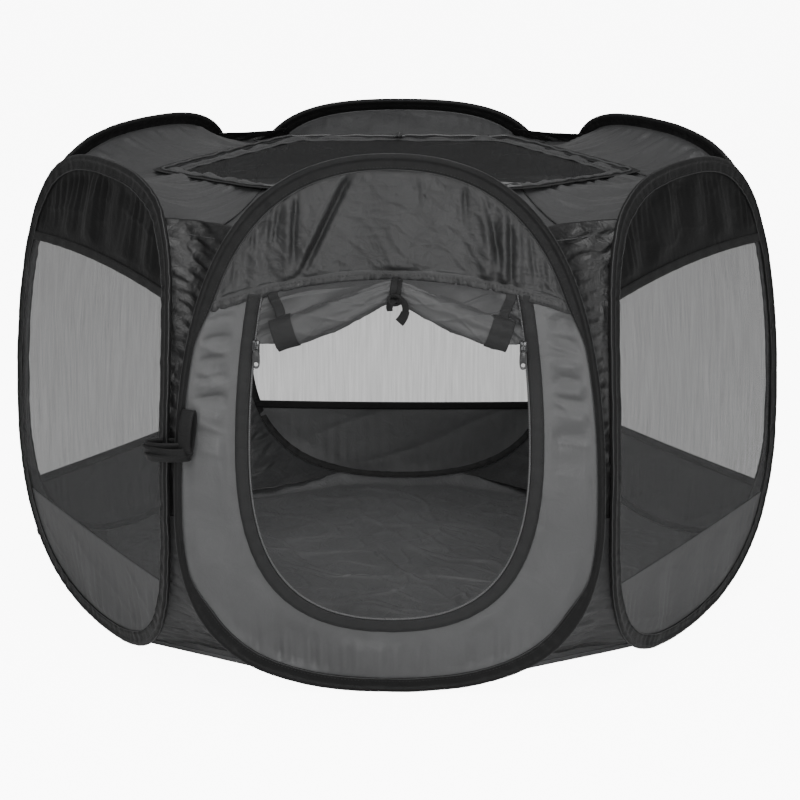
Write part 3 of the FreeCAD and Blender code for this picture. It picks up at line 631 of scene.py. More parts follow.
def hem_point(wall, t, inset):
    """A point across the sleeve's hem, which is turned in and narrow down the door wall's two sides."""
    _, z = loop(wall, t)
    if wall != "front" or inset < HEM_START:
        return loop(wall, t, inset)
    narrow = smoothstep(0.10, 0.18, z) * (1 - smoothstep(0.50, 0.58, z))
    return loop(wall, t, HEM_START + (inset - HEM_START) * (1 - 0.85 * narrow))


def make_sleeve(wall):
    """A wall's sleeve with its slightly rippled hem, the raised edges of the hem in a lighter cloth that
    paints the fold's highlight, and a row of stitches.
    """
    body = f"{wall}_wall"
    t = np.linspace(0, 4, 520, endpoint=False)
    profile = sleeve_profile()
    seed = WALL_NAMES.index(wall)
    base_u, base_z = loop(wall, t)
    length = np.cumsum(np.hypot(np.diff(base_u, append=base_u[:1]), np.diff(base_z, append=base_z[:1])))
    ripple = ripples(length, 11 + seed, 0.022, 0.3) * 0.00028
    ripple += ripples(length, 31 + seed, 0.09, 0.3) * 0.0004
    points = np.zeros((len(t), len(profile), 3))
    uv = np.zeros((len(t), len(profile), 2))
    for index, (inset, out) in enumerate(profile):
        u, z = hem_point(wall, t, inset)
        points[:, index] = place(wall, u, z, out + ripple * (1.0 if inset > HEM_START else 0.45))
        uv[:, index, 0] = length
        uv[:, index, 1] = index * 0.0025
    piece = grid_object(f"sleeve_tube_{wall}", points, uv, around=True, along=True)
    dress(piece, SLEEVE, body, f"sleeve_{wall}")
    lines = []
    # Raised beads on the outer rim and the hem's inner edge: real beads, in a lighter cloth that paints the
    # fold's highlight
    for inset, out, radius in ((0.0008, 0.0012, 0.0008), (HEM_END - 0.0004, HEM_OUT + 0.0006, 0.0006)):
        u, z = hem_point(wall, t[::2], inset)
        lines.append(tube("edge", place(wall, u, z, out + ripple[::2]), radius, 6, closed=True))
    dress(joined(f"sleeve_edge_highlight_{wall}", lines), EDGE_HIGHLIGHT, body)
    row_t = np.linspace(0, 4, 700)
    u, z = hem_point(wall, row_t, 0.0180)
    out = HEM_OUT + 0.0008 + np.interp(row_t, t, ripple)
    row = wall_stitches(f"sleeve_stitching_{wall}", wall, u, z, out)
    dress(row, THREAD, body)


# Wall cloth ----------------------------------------------------------------------------------------

EDGE = 0.0075


def wall_sheet(name, wall, u, z, out, material, node, thickness=CLOTH):
    """One sheet of wall cloth from grids of u, z and out."""
    piece = grid_object(name, place(wall, u, z, out), np.stack([u, z], -1), thickness=thickness)
    dress(piece, material, f"{wall}_wall", node)


def wall_columns(rows, columns):
    """Columns across a wall, closer together near its sides, for some rows."""
    across = np.sin(np.linspace(-math.pi / 2, math.pi / 2, columns)) * (HALF - EDGE - 0.0006)
    return np.broadcast_to(across[None], (rows, columns))


def pleats(u, gap, seed, reach, length):
    """Gathers that hang from a curved edge: gap is the distance below it."""
    return waves(u, gap * 0.15, seed, length, 0, 0.12) * np.exp(-gap / reach)


def make_side_band(wall, seed):
    u = wall_columns(56, 150)
    top = crown_height(wall, u, EDGE)
    bottom = np.minimum(mesh_top(u), top - 0.0005)
    z = bottom + (top - bottom) * np.linspace(0, 1, 56)[:, None]
    fade = past_hem(hem_distance(wall, u, z, True)) * smoothstep(0.006, 0.03, z - bottom)
    out = (pleats(u, top - z, seed, 0.08, 0.015) - 1) * 0.0022 * np.exp(-(top - z) / 0.10)
    out += waves(u, z, seed + 1, 0.11, 0, 0.5) * 0.0020 + creases(u, z, seed + 2, 0.10, 1.4, 0.5) * 0.0014
    name = f"upper_cloth_{wall}"
    wall_sheet(name, wall, u, z, out * fade, SIDE_BAND, f"upper_panel_{wall}")


def make_skirt(wall, seed):
    u = wall_columns(56, 150)
    bottom = sill_height(wall, u, EDGE)
    top = np.maximum(mesh_bottom(u), bottom + 0.0005)
    z = bottom + (top - bottom) * np.linspace(0, 1, 56)[:, None]
    fade = past_hem(hem_distance(wall, u, z, False)) * smoothstep(0.006, 0.03, top - z)
    out = waves(u, z, seed, 0.16, 0.3, 0.7) * 0.0020 + pleats(u, z - bottom, seed + 1, 0.05, 0.020) * 0.0014
    out += creases(u, z, seed + 2, 0.16, 1.2, 0.4) * 0.0014
    wall_sheet(f"skirt_cloth_{wall}", wall, u, z, out * fade, SKIRT, f"lower_panel_{wall}")


def make_window(wall, seed):
    share = np.linspace(-1, 1, 90)[None, :]
    level = np.linspace(0, 1, 90)[:, None]
    z = MESH_LOW + (MESH_HIGH - MESH_LOW) * level
    for _ in range(3):
        u = share * half_width(wall, z, EDGE)
        z = mesh_bottom(u) + (mesh_top(u) - mesh_bottom(u)) * level
    fade = smoothstep(0, 0.04, mesh_top(u) - z) * smoothstep(0, 0.04, z - mesh_bottom(u))
    out = waves(u, z, seed, 0.25, 0.8, 1.2) * 0.0012 * fade
    wall_sheet(f"window_net_{wall}", wall, u, z, out, MESH, f"mesh_window_{wall}", 0)


def make_window_tapes(wall, seed):
    """Tapes over the mesh's seams: on both faces above it, and inside only, a little lower, below it."""
    strips = []
    width = 0.0135
    for edge, sides, shift in ((mesh_bottom, (-0.0016,), -width / 2), (mesh_top, (0.0016, -0.0016), 0.0)):
        limit = float(half_width(wall, edge(HALF), EDGE + 0.001))
        across = np.linspace(-limit, limit, 120)
        height = edge(across) + shift
        for side in sides:
            line = place(wall, across, height, side + ripples(across, seed, 0.05) * 0.0002)
            up = place(wall, across, height + 0.01, side) - place(wall, across, height, side)
            strips.append(ribbon("strip", line, up, width, 0.0011))
    tapes = joined(f"window_binding_{wall}", strips)
    dress(tapes, BINDING, f"{wall}_wall", f"window_tapes_{wall}")


def make_side_wall(wall):
    seed = 100 + 10 * WALL_NAMES.index(wall)
    make_side_band(wall, seed)
    make_skirt(wall, seed + 3)
    make_window(wall, seed + 6)
    make_window_tapes(wall, seed + 7)


# Door wall -----------------------------------------------------------------------------------------

DOOR_MIDDLE = 0.350
DOOR_TOP = 0.572
DOOR_HALF = 0.210
DOOR_LEAN = 0.015
DOOR_TAPE = 0.0165
JAMB_SHARE = 0.2


def front_band_folds(u, z, top, bottom):
    """The door wall's upper cloth: gathers under the arch, long side pleats and a slanting fold."""
    gap = top - z
    sides = smoothstep(0.07, 0.17, np.abs(u))
    out = (pleats(u, gap, 5, 0.045, 0.014) - 1) * 0.0020 * np.exp(-gap / 0.06) * (0.5 + 0.9 * sides)
    out += waves(u, z * 0.22, 6, 0.030, 0, 0.15) * 0.0019 * sides
    out += waves(u, z, 7, 0.14, 0.2, 0.6) * 0.0024
    out += creases(u, z, 8, 0.050, 0.9, 0.7) * 0.0016
    out += creases(u, z, 9, 0.024, 1.2, 0.5) * 0.0007
    # Each fold's upper end, lower end, width and depth
    folds = (
        ((-0.048, 0.742), (-0.116, 0.604), 0.0050, 0.0105),
        ((-0.127, 0.700), (-0.131, 0.622), 0.0030, 0.0060),
        ((-0.150, 0.690), (-0.156, 0.640), 0.0028, 0.0050),
        ((-0.184, 0.676), (-0.186, 0.634), 0.0028, 0.0050),
        ((-0.205, 0.655), (-0.212, 0.585), 0.0035, 0.0040),
        ((0.040, 0.735), (0.046, 0.690), 0.0025, 0.0030),
        ((0.100, 0.715), (0.104, 0.665), 0.0028, 0.0045),
        ((0.128, 0.705), (0.150, 0.612), 0.0040, 0.0060),
        ((0.163, 0.680), (0.164, 0.575), 0.0045, 0.0085),
        ((0.190, 0.660), (0.196, 0.590), 0.0030, 0.0045),
        ((0.214, 0.635), (0.226, 0.580), 0.0030, 0.0040),
    )
    for start, end, width, depth in folds:
        out -= fold_line(u, z, start, end, width) * depth
        beside = (start[0] - width * 2.4, start[1]), (end[0] - width * 2.4, end[1])
        out += fold_line(u, z, *beside, width * 1.1) * depth * 0.42
    return out * past_hem(hem_distance("front", u, z, True)) * smoothstep(0, 0.010, z - bottom)


def make_front_band():
    u = wall_columns(80, 260)
    top = crown_height("front", u, EDGE)
    bottom = np.minimum(front_seam(u), top - 0.0005)
    z = bottom + (top - bottom) * np.linspace(0, 1, 80)[:, None]
    out = front_band_folds(u, z, top, bottom)
    wall_sheet("upper_cloth_front", "front", u, z, out, FRONT_BAND, "upper_panel_front")


def make_front_seam():
    """The turned hem over the seam, and its two rows of stitches."""
    reach = float(half_width("front", front_seam(HALF), EDGE + 0.001))
    across = np.linspace(-reach, reach, 260)
    seam = front_seam(across)
    hem_depth = 0.0125
    pucker = ripples(across, 41, 0.012) * 0.0004 + ripples(across, 42, 0.05) * 0.0005
    # How far each row lies below the seam, and how far out
    rows = ((-0.005, -0.0012), (-0.002, 0.0006), (0, 0.0016), (0.006, 0.0016))
    rows += ((hem_depth, 0.0016), (0.0135, 0))
    hem_rows = []
    for drop, lift in rows:
        ripple = pucker * np.clip(0.4 + drop / hem_depth, 0, None)
        hem_rows.append(place("front", across, seam - drop, lift + ripple))
    hem = grid_object("front_seam_hem", np.array(hem_rows), thickness=0.0008)
    dress(hem, FRONT_BAND, "front_wall")
    threads = []
    for drop in (0.0022, 0.0100):
        out = 0.0022 + pucker * (0.4 + drop / hem_depth)
        threads.append(wall_stitches("row", "front", across, seam - drop, out, 0.0036, 0.0018, 0.00045))
    dress(joined("front_seam_stitching", threads), THREAD, "front_wall")


def doorway_shares(t):
    """Where t is down a jamb (0 top, 1 foot) and along the rounded sill (0 jamb, 1 middle)."""
    mirrored = np.where(t > 0.5, 1 - t, t)
    jamb = np.clip(mirrored / JAMB_SHARE, 0, 1)
    turn = np.clip((mirrored - JAMB_SHARE) / (0.5 - JAMB_SHARE), 0, 1)
    return mirrored < JAMB_SHARE, jamb, turn


def jamb_lean(height):
    """How far the jambs lean in at a height above the doorway's middle."""
    return DOOR_LEAN * (height / (DOOR_BOX[1].z - DOOR_MIDDLE)) ** 2


def door_edge(t, inset):
    """The doorway's U. t runs from 0 at the left jamb's top, by the sill at 0.5, to 1 at the right."""
    half = DOOR_BOX[1].x - inset
    t = np.asarray(t, float)
    on_jamb, jamb, turn = doorway_shares(t)
    height = (DOOR_TOP - DOOR_MIDDLE) * (1 - jamb)
    fall = DOOR_MIDDLE - DOOR_BOX[0].z - inset
    sill_across, sill_drop = quarter(turn, half, -fall, DOOR_ROUNDNESS)
    across = np.where(on_jamb, half - jamb_lean(height), sill_across)
    up = DOOR_MIDDLE + np.where(on_jamb, height, sill_drop)
    return np.where(t > 0.5, across, -across), up


def make_surround():
    """The cloth round the doorway, in columns that run from the doorway out to the loop."""
    t = np.linspace(0, 1, 420)
    door_u, door_z = door_edge(t, -0.0005)
    limit = loop_t_at("front", height=float(front_seam(0.27)) - 0.001, inset=EDGE)
    on_jamb, jamb, turn = doorway_shares(t)
    loop_u, loop_z = loop("front", np.where(on_jamb, limit * (1 - jamb), 4 - turn), EDGE)
    loop_u = np.where(t > 0.5, loop_u, -loop_u)
    share = np.linspace(0, 1, 64)[:, None]
    u = door_u[None] + (loop_u - door_u)[None] * share
    z = door_z[None] + (loop_z - door_z)[None] * share
    width = np.hypot(door_u - loop_u, door_z - loop_z)[None]
    fade = past_hem((1 - share) * width + EDGE) * smoothstep(0.012, 0.035, share * width)
    side = smoothstep(0.15, 0.21, np.abs(u)) * smoothstep(0.30, 0.42, z)
    out = waves(u, z, 51, 0.045, math.pi / 2, 0.25) * 0.0016 * side
    out += creases(u, z, 52, 0.09, math.pi / 2 - 0.25, 0.25) * 0.0030 * side
    for hand, depth in ((-1, 0.0050), (1, 0.0036)):
        for step in range(5):
            start = (hand * 0.292, 0.425 + 0.026 * step)
            end = (hand * 0.190, 0.438 + 0.027 * step)
            out -= fold_line(u, z, start, end, 0.0050) * depth
    out += waves(u, z, 53, 0.20, 0.5, 0.8) * 0.0022
    out += waves(u, 0 * z, 54, 0.022, 0, 0.2) * 0.0012 * (1 - smoothstep(0.05, 0.13, z))
    name = "door_surround_cloth"
    wall_sheet(name, "front", u, z, out * fade, DOOR_WALL, "door_surround")


def coil_teeth(line):
    """The wave that a zip coil's teeth add to its radius along a line."""
    return 0.0005 * np.sin(2 * math.pi * distance_along(line) / 0.0032)


def make_door_tape():
    """The zip tape round the doorway with its stitches and half of its coil."""
    t = np.linspace(0, 1, 420)
    ripple = ripples(t, 55, 0.02) * 0.0003
    # How far each row lies inside the doorway's edge, and how far out
    rows = ((-0.0015, 0.0004), (-0.001, 0.0019), (0.004, 0.0022), (0.009, 0.0020), (0.0145, 0.0018))
    rows += ((DOOR_TAPE, 0.0004),)
    edges = [door_edge(t, inset) for inset, _ in rows]
    u, z = np.array([edge[0] for edge in edges]), np.array([edge[1] for edge in edges])
    out = np.array([lift + ripple for _, lift in rows])
    wall_sheet("door_zip_tape", "front", u, z, out, ZIP_TAPE, "door_zipper_tape")
    line = place("front", *door_edge(np.linspace(0, 1, 1500), 0.0178), 0.0008)
    dress(tube("door_zip_coil", line, 0.0016 + coil_teeth(line), 6), ZIP_COIL, "front_wall")
    threads = []
    for inset in (0.0008, 0.0125):
        threads.append(wall_stitches("row", "front", *door_edge(np.linspace(0, 1, 600), inset), 0.0024))
    dress(joined("door_tape_stitching", threads), THREAD, "front_wall")


# The rolled door -----------------------------------------------------------------------------------

ROLL_Y = (ROLL_BOX[0].y + ROLL_BOX[1].y) / 2
ROLL_END_RADIUS = (ROLL_BOX[1].y - ROLL_BOX[0].y) / 2 - 0.0012
ROLL_MIDDLE_RADIUS = 0.0120
ROLL_LEFT, ROLL_RIGHT = -0.152, 0.160
ROLL_END_Z = 0.526
ROLL_MIDDLE_Z = 0.586
TIE_U = 0.006
FLAT = 0.84
CURTAIN_LEFT, CURTAIN_RIGHT = -0.164, 0.170
SHOULDER_FOOT = 0.506


def roll_share(u):
    """0 at the tie and 1 at either end of the roll."""
    return np.where(u < TIE_U, (TIE_U - u) / (TIE_U - ROLL_LEFT), (u - TIE_U) / (ROLL_RIGHT - TIE_U))


def roll_line(u):
    """The height of the roll's axis: two slightly sagging halves that meet in a soft bend at the tie."""
    s = roll_share(u)
    fall = (np.sqrt(s * s + 0.006) - 0.0775) / 0.925
    sag = 0.004 * np.sin(math.pi * np.clip(s, 0, 1))
    return ROLL_MIDDLE_Z + (ROLL_END_Z - ROLL_MIDDLE_Z) * fall - sag


def roll_radius(u):
    growth = smoothstep(-0.1, 0.55, roll_share(u))
    return ROLL_MIDDLE_RADIUS + (ROLL_END_RADIUS - ROLL_MIDDLE_RADIUS) * growth


def roll_ring(u, angle, radius, lean):
    """Points round the roll's axis, leaning with its slope."""
    offset = radius * np.sin(angle)
    x = u - np.sin(lean) * offset
    y = ROLL_Y + radius * np.cos(angle) * FLAT
    z = roll_line(u) + np.cos(lean) * offset
    return np.stack(np.broadcast_arrays(x, y, z), -1)


def roll_surface(u, angle):
    """The roll's radius, with the step of its loose edge and soft gathers towards the tie."""
    s = roll_share(u)
    around = angle * 0.02
    lip = math.radians(228)
    wound = ((angle - lip + 0.25 * (1 - s)) / (2 * math.pi)) % 1
    near_tie = np.exp(-(s / 0.22) ** 2)
    radius = roll_radius(u) * (0.94 + 0.07 * wound)
    radius = radius + waves(u * 0.25, around, 61, 0.022, math.pi / 2, 0.35) * 0.0008
    radius += waves(0 * u, around, 62, 0.014, math.pi / 2, 0.1) * 0.0016 * near_tie
    radius += creases(s * 0.10, around + 0.045 * s, 63, 0.050, 1.1, 0.25, 2) * 0.0014 * (1 - near_tie * 0.5)
    radius += creases(s * 0.16, around - 0.03 * s, 65, 0.060, 1.9, 0.35) * 0.0008
    return radius


def make_roll():
    u = np.linspace(ROLL_LEFT, ROLL_RIGHT, 300)[:, None]
    angle = full_turn(96)[None, :]
    lean = np.arctan(np.gradient(roll_line(u[:, 0]), u[:, 0]))[:, None]
    points = roll_ring(u, angle, roll_surface(u, angle), lean)
    roll = swept("rolled_door", points.mean(1), points)
    dress(roll, ROLL, "door_roll", "door_roll")
    ends = [roll_end(-1, ROLL_LEFT, angle), roll_end(1, ROLL_RIGHT, angle)]
    dress(joined("rolled_door_end_tapes", ends), ZIP_TAPE, "door_roll", "door_roll_bindings")


def roll_end(sign, end, angle):
    """The zip tape's turns at one end of the roll: a band round it, and steps on its face."""
    band_u = end - sign * np.linspace(0.027, -0.0015, 18)[:, None]
    inside = np.clip(band_u, ROLL_LEFT, ROLL_RIGHT)
    lean = float(np.arctan((roll_line(end) - roll_line(end - sign * 0.02)) / (sign * 0.02)))
    ring = roll_ring(band_u, angle, roll_surface(inside, angle) + 0.0015, lean)
    middle = ring[-1:].mean(1, keepdims=True)
    rings = [ring]
    for turn, keep in enumerate((0.93, 0.80, 0.78, 0.62, 0.60, 0.44, 0.42, 0.25, 0.0)):
        inner = middle + (ring[-1:] - middle) * keep
        inner[..., 0] -= sign * (0.0012 if turn % 2 else 0.0)
        rings.append(inner)
    return grid_object("end", np.concatenate(rings), around=True)


def curtain_sheet(s, t, lift=0.0):
    """The hanging cloth from the seam (t = 0) to the roll's back (t = 1); s crosses it from -1 to 1."""
    across = (s + 1) / 2
    top_u = CURTAIN_LEFT + (CURTAIN_RIGHT - CURTAIN_LEFT) * across
    bottom_u = ROLL_LEFT + 0.002 + (ROLL_RIGHT - ROLL_LEFT - 0.004) * across
    u = top_u + (bottom_u - top_u) * smoothstep(0, 1, t)
    start = place("front", top_u, front_seam(top_u) - 0.0105, 0.0004)
    radius = roll_radius(bottom_u) * 0.95
    rest = math.radians(62)
    end_z = roll_line(bottom_u) + radius * math.sin(rest)
    end_y = ROLL_Y + radius * math.cos(rest) * FLAT
    y = start[..., 1] + (end_y - start[..., 1]) * t
    z = start[..., 2] + (end_z - start[..., 2]) * t + 0.003 * np.sin(math.pi * t)
    off_tie = np.abs(u - TIE_U)
    fade = smoothstep(0, 0.3, t) * (1 - 0.6 * smoothstep(0.8, 1, t))
    fold = creases(u, t * 0.05 + 0.4 * off_tie, 72, 0.06, 1.2, 0.3, 2) * 0.0032
    fold += waves(u, 0 * u, 73, 0.016, 0, 0.1) * 0.0012 * np.exp(-(off_tie / 0.05) ** 2)
    fold += waves(u, t * 0.04, 74, 0.07, 0.8, 0.4) * 0.0020
    shift = fold * fade * (0.2 + 0.8 * smoothstep(0.03, 0.11, off_tie)) + lift
    return u, y - shift * 0.6, z + shift * 0.7


def make_curtain():
    """The part of the door between the seam and the roll."""
    tucked = 4
    s = np.linspace(-1, 1, 300)[None, :]
    t = np.concatenate([np.zeros(tucked), np.linspace(0, 1, 60)])[:, None]
    u, y, z = curtain_sheet(s, t)
    tuck = np.concatenate([np.linspace(1, 0, tucked + 1)[:-1], np.zeros(60)])[:, None]
    y = y + 0.0012 * smoothstep(0, 0.3, tuck)
    points = np.stack(np.broadcast_arrays(u, y, z + 0.010 * tuck), -1)
    curtain = grid_object("door_curtain", points, thickness=CLOTH)
    strips = []
    for sign in (-1, 1):
        edge = sign * np.linspace(0.925, 1.008, 7)[None, :]
        sheet = np.broadcast_arrays(*curtain_sheet(edge, t[tucked:], 0.0012))
        strips.append(grid_object("strip", np.stack(sheet, -1)))
    tapes = joined("door_curtain_tapes", strips)
    thicken(tapes, 0.0012)
    bake(tapes)
    for piece, material, slot in ((curtain, ROLL, "rolled_door_cloth"), (tapes, ZIP_TAPE, "zip_tape")):
        dress(piece, material)
        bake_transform(piece)


def make_shoulders():
    """The top corners of the door, still zipped to the wall above each slider, gathered in folds."""
    pieces = []
    t = np.linspace(0, 1, 60)[:, None]
    s = np.linspace(0, 1, 26)[None, :]
    top_z = float(front_seam(0.18)) - 0.002
    z = top_z + (SHOULDER_FOOT - top_z) * t
    jamb = DOOR_HALF - DOOR_TAPE - jamb_lean(z - DOOR_MIDDLE)
    for hand, curtain_edge in ((-1, -CURTAIN_LEFT), (1, CURTAIN_RIGHT)):
        u = hand * (jamb + (curtain_edge - 0.014 - jamb) * s)
        fold = waves(s * 0.02, t * 0.06, 81 + hand, 0.018, 1.05, 0.3) * 0.0017
        fold += creases(s * 0.02, t * 0.06, 83 + hand, 0.022, 1.0, 0.3, 2) * 0.0022
        drop = front_seam(u) - z
        live = smoothstep(0, 0.25, s) * smoothstep(0.014, 0.030, drop)
        base = 0.0020 * smoothstep(0.012, 0.022, drop) - 0.0010
        pieces.append(grid_object("shoulder", place("front", u, z, base + fold * live), thickness=CLOTH))
    shoulders = joined("door_top_corners", pieces)
    bake(shoulders)
    dress(shoulders, ROLL, "front_wall")


def make_tie():
    """The tie strap: two turns round the roll's middle, a small knot under it and its loose ends."""
    turn = full_turn(60)
    reach_y, reach_z = 0.0150, 0.0160
    height = ROLL_MIDDLE_Z + 0.001 + reach_z * np.sin(turn)
    ring = np.stack([TIE_U + 0.002 * np.sin(turn), ROLL_Y + reach_y * np.cos(turn), height], -1)
    pieces = [ribbon("ring", ring, (1, 0.15, 0), 0.010, 0.0018, closed=True)]
    second = ring + [0.007, -0.0012, -0.001]
    pieces.append(ribbon("ring", second, (1, -0.25, 0.3), 0.007, 0.0018, closed=True))
    seam = place("front", TIE_U + 0.002, SEAM_HEIGHT - 0.006, 0.002)
    above = np.array([TIE_U + 0.002, ROLL_Y - reach_y * 0.4, ROLL_MIDDLE_Z + reach_z])
    hanger = bezier([seam, seam + [0, -0.012, 0.001], above])
    pieces.append(ribbon("hanger", hanger, (1, 0, 0), 0.007, 0.0014))
    knot_centre = np.array([TIE_U + 0.003, ROLL_Y - reach_y - 0.001, ROLL_MIDDLE_Z - 0.007])
    turn = full_turn(40)
    knot = np.stack([0.0085 * np.cos(turn), -0.0025 * np.sin(2 * turn), 0.0065 * np.sin(turn)], -1)
    pieces.append(ribbon("knot", knot_centre + knot, (0, -1, 0.2), 0.0095, 0.0040, closed=True))
    # The bends of the three loose ends, measured from the knot
    tail = [[0.002, 0, 0.001], [0.010, -0.004, 0.002], [0.015, -0.003, -0.006], [0.013, -0.002, -0.017]]
    flag = [[0.013, -0.002, -0.015], [0.012, -0.004, -0.022], [0.005, -0.002, -0.030]]
    end = [[0.0, 0, 0.001], [-0.006, -0.005, -0.001], [-0.010, -0.004, -0.008], [-0.007, -0.003, -0.014]]
    for bends, across, width in (
        (tail, (0.9, -0.3, 0.2), 0.0095),
        (flag, (0.8, -0.2, 0.6), 0.0130),
        (end, (0.8, -0.5, -0.3), 0.0105),
    ):
        pieces.append(ribbon("end", bezier(knot_centre + np.array(bends)), across, width, 0.0016))
    tie = joined("door_tie_strap", pieces)
    dress(tie, WEBBING, "front_wall", "door_tie")
    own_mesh(tie)


# Zips ----------------------------------------------------------------------------------------------

PULL_HEAD = 0.0075
PULL_THICKNESS = 0.0020
WIRE_RADIUS = 0.0009
BAIL_REACH = 0.0052


def rounded_box(name, size, bevel, centre=(0, 0, 0), taper=0.0):
    """A box with rounded edges. taper narrows its foot in x by about that share."""
    mesh = bpy.data.meshes.new(name)
    half = np.array(size) / 2
    corners = [tuple(half * (sx, sy, sz)) for sx in (-1, 1) for sy in (-1, 1) for sz in (-1, 1)]
    faces = [(0, 1, 3, 2), (4, 6, 7, 5), (0, 4, 5, 1), (2, 3, 7, 6), (0, 2, 6, 4), (1, 5, 7, 3)]
    mesh.from_pydata(corners, [], faces)
    piece = add_object(name, mesh)
    edge = piece.modifiers.new("edge", "BEVEL")
    edge.width = bevel
    edge.segments = 3
    bake(piece)
    piece.data.shade_smooth()
    for vertex in piece.data.vertices:
        vertex.co.x *= 1 - taper * (0.5 - vertex.co.z / size[2])
    piece.data.transform(Matrix.Translation(centre))
    return piece


def plate_ring(name, outline, hole, depth):
    """A flat plate in the XZ plane with a hole: matched outlines, both faces and both walls."""
    front, back = -depth / 2, depth / 2
    chamfer = depth * 0.22
    loops = []
    for line, y, grow in (
        (hole, front + chamfer, 1.0),
        (hole, front, 1.04),
        (outline, front, 0.965),
        (outline, front + chamfer, 1.0),
        (outline, back - chamfer, 1.0),
        (outline, back, 0.965),
        (hole, back, 1.04),
        (hole, back - chamfer, 1.0),
    ):
        middle = line.mean(0)
        grown = middle + (line - middle) * grow
        loops.append(np.stack([grown[:, 0], np.full(len(line), y), grown[:, 1]], -1))
    return grid_object(name, np.array(loops).transpose(1, 0, 2), around=True, along=True)


def pull_tab(width, length):
    """A tab hanging from the origin: an oval, nearly square at its head, with a hole and a wire link."""
    turn = full_turn(64)
    oval_length = length - PULL_HEAD
    across = np.sign(np.cos(turn)) * np.abs(np.cos(turn)) ** 0.62 * width * 0.88 / 2
    down = np.sign(np.sin(turn)) * np.abs(np.sin(turn)) ** 0.75 * oval_length / 2
    outline = np.stack([across, down - oval_length / 2 - PULL_HEAD], -1)
    radius = width * 0.24
    hole = np.stack([radius * np.cos(turn), radius * np.sin(turn) - (length - width * 0.5)], -1)
    left = [(-0.0042, 0, -PULL_HEAD - 0.001), (-0.0042, 0, -0.003), (-0.0034, 0, -0.0004)]
    bends = np.array(left + [(-x, y, z) for x, y, z in reversed(left)])
    sides = [np.linspace(a, b, 5)[:-1] for a, b in zip(bends[:-1], bends[1:])]
    link = tube("link", np.concatenate(sides + [bends[-1:]]), WIRE_RADIUS)
    return [plate_ring("plate", outline, hole, PULL_THICKNESS), link]


def bail(foot, tip, along):
    """The wire arch that holds a pull, from foot + along over the tip to foot - along."""
    foot, tip, along = np.array(foot), np.array(tip), np.array(along)
    return tube("bail", bezier([foot + along, tip + along, tip - along, foot - along], 24), WIRE_RADIUS)


def finish_zip(hand, slider_parts, pull_parts, bodies, nodes, placed):
    """Joins and dresses a slider and its pull, whose mesh is first brought to its place."""
    slider = joined(f"zip_slider_{hand}", slider_parts)
    dress(slider, SLIDER_METAL, bodies[0], nodes[0])
    pull = joined(f"zip_pull_{hand}", pull_parts)
    pull.data.transform(placed)
    dress(pull, PULL_PAINT, bodies[1], nodes[1])
    return slider, pull


def make_door_zip(hand):
    """A door zip's slider, its bail and its oval pull, built from their boxes."""
    nodes = f"slider_{hand}", f"pull_{hand}"
    low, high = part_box(nodes[0])
    pull_low, pull_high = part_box(nodes[1])
    _, hinge_y, hinge_z = JOINTS[f"{hand}_pull_swing"]["pos_m"]
    x, z = ((pull_low + pull_high) / 2).x, ((low + high) / 2).z
    width = pull_high.x - pull_low.x
    face = hinge_y + 0.0026
    side = -1 if x > 0 else 1
    post_place = x + side * width * 0.26, face + 0.0055, z + 0.004
    parts = [
        rounded_box("body", (width * 0.86, 0.0042, 0.02), 0.0016, (x, face + 0.0028, z), 0.22),
        rounded_box("back", (width * 0.72, 0.0020, 0.018), 0.0008, (x, face + 0.0085, z)),
        rounded_box("post", (0.003, 0.008, 0.008), 0.0008, post_place),
        bail((x, face + 0.002, hinge_z), (x, hinge_y - 0.005, hinge_z), (0, 0, BAIL_REACH)),
    ]
    tab = pull_tab(width, pull_high.z - pull_low.z)
    tab.append(rounded_box("grip", (width * 0.55, 0.0028, 0.0085), 0.0008, (0, 0, -PULL_HEAD - 0.0065)))
    bodies = f"{hand}_zip_slider", f"{hand}_zip_pull"
    finish_zip(hand, parts, tab, bodies, nodes, Matrix.Translation((x, hinge_y, hinge_z)))


def make_hatch_zip():
    """The hatch's slider and pull, which lies flat along the roof."""
    low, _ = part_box("hatch_slider")
    pull_low, pull_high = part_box("hatch_pull")
    _, hinge_y, hinge_z = JOINTS["hatch_pull_swing"]["pos_m"]
    width = pull_high.x - pull_low.x
    parts = [
        rounded_box("body", (0.0200, width * 0.86, 0.0042), 0.0016, (0, hinge_y, low.z + 0.0022)),
        bail((0, hinge_y, low.z + 0.003), (0, hinge_y, hinge_z + BAIL_REACH), (0, -BAIL_REACH, 0)),
    ]
    placed = Matrix.Translation((0, hinge_y, hinge_z)) @ Matrix.Rotation(math.radians(-90), 4, "X")
    tab = pull_tab(width, pull_high.y - pull_low.y)
    bodies = "hatch_zip_slider", "hatch_zip_pull"
    for piece in finish_zip("hatch", parts, tab, bodies, ("hatch_slider", "hatch_pull"), placed):
        fold_flat(piece)


# Roof ----------------------------------------------------------------------------------------------

HATCH_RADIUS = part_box("roof_zipper_tape")[1].x
HATCH_HEIGHTS = (0.661, 0.668, 0.668, 0.661, 0.687, 0.687)
HATCH_MIDDLE_HEIGHT = 0.655
HATCH_TAPE = 0.012
TAPE_LIFT = 0.0012
ROOF_INSET = 0.021
ROOF_OUT = -0.0055
ROOF_UNDER_TAPE = 0.010
CHORD_STEPS = 14


def hatch_corner_height(number, shrink):
    rim = HATCH_HEIGHTS[number % 6]
    return rim + (HATCH_MIDDLE_HEIGHT - rim) * shrink / HATCH_RADIUS


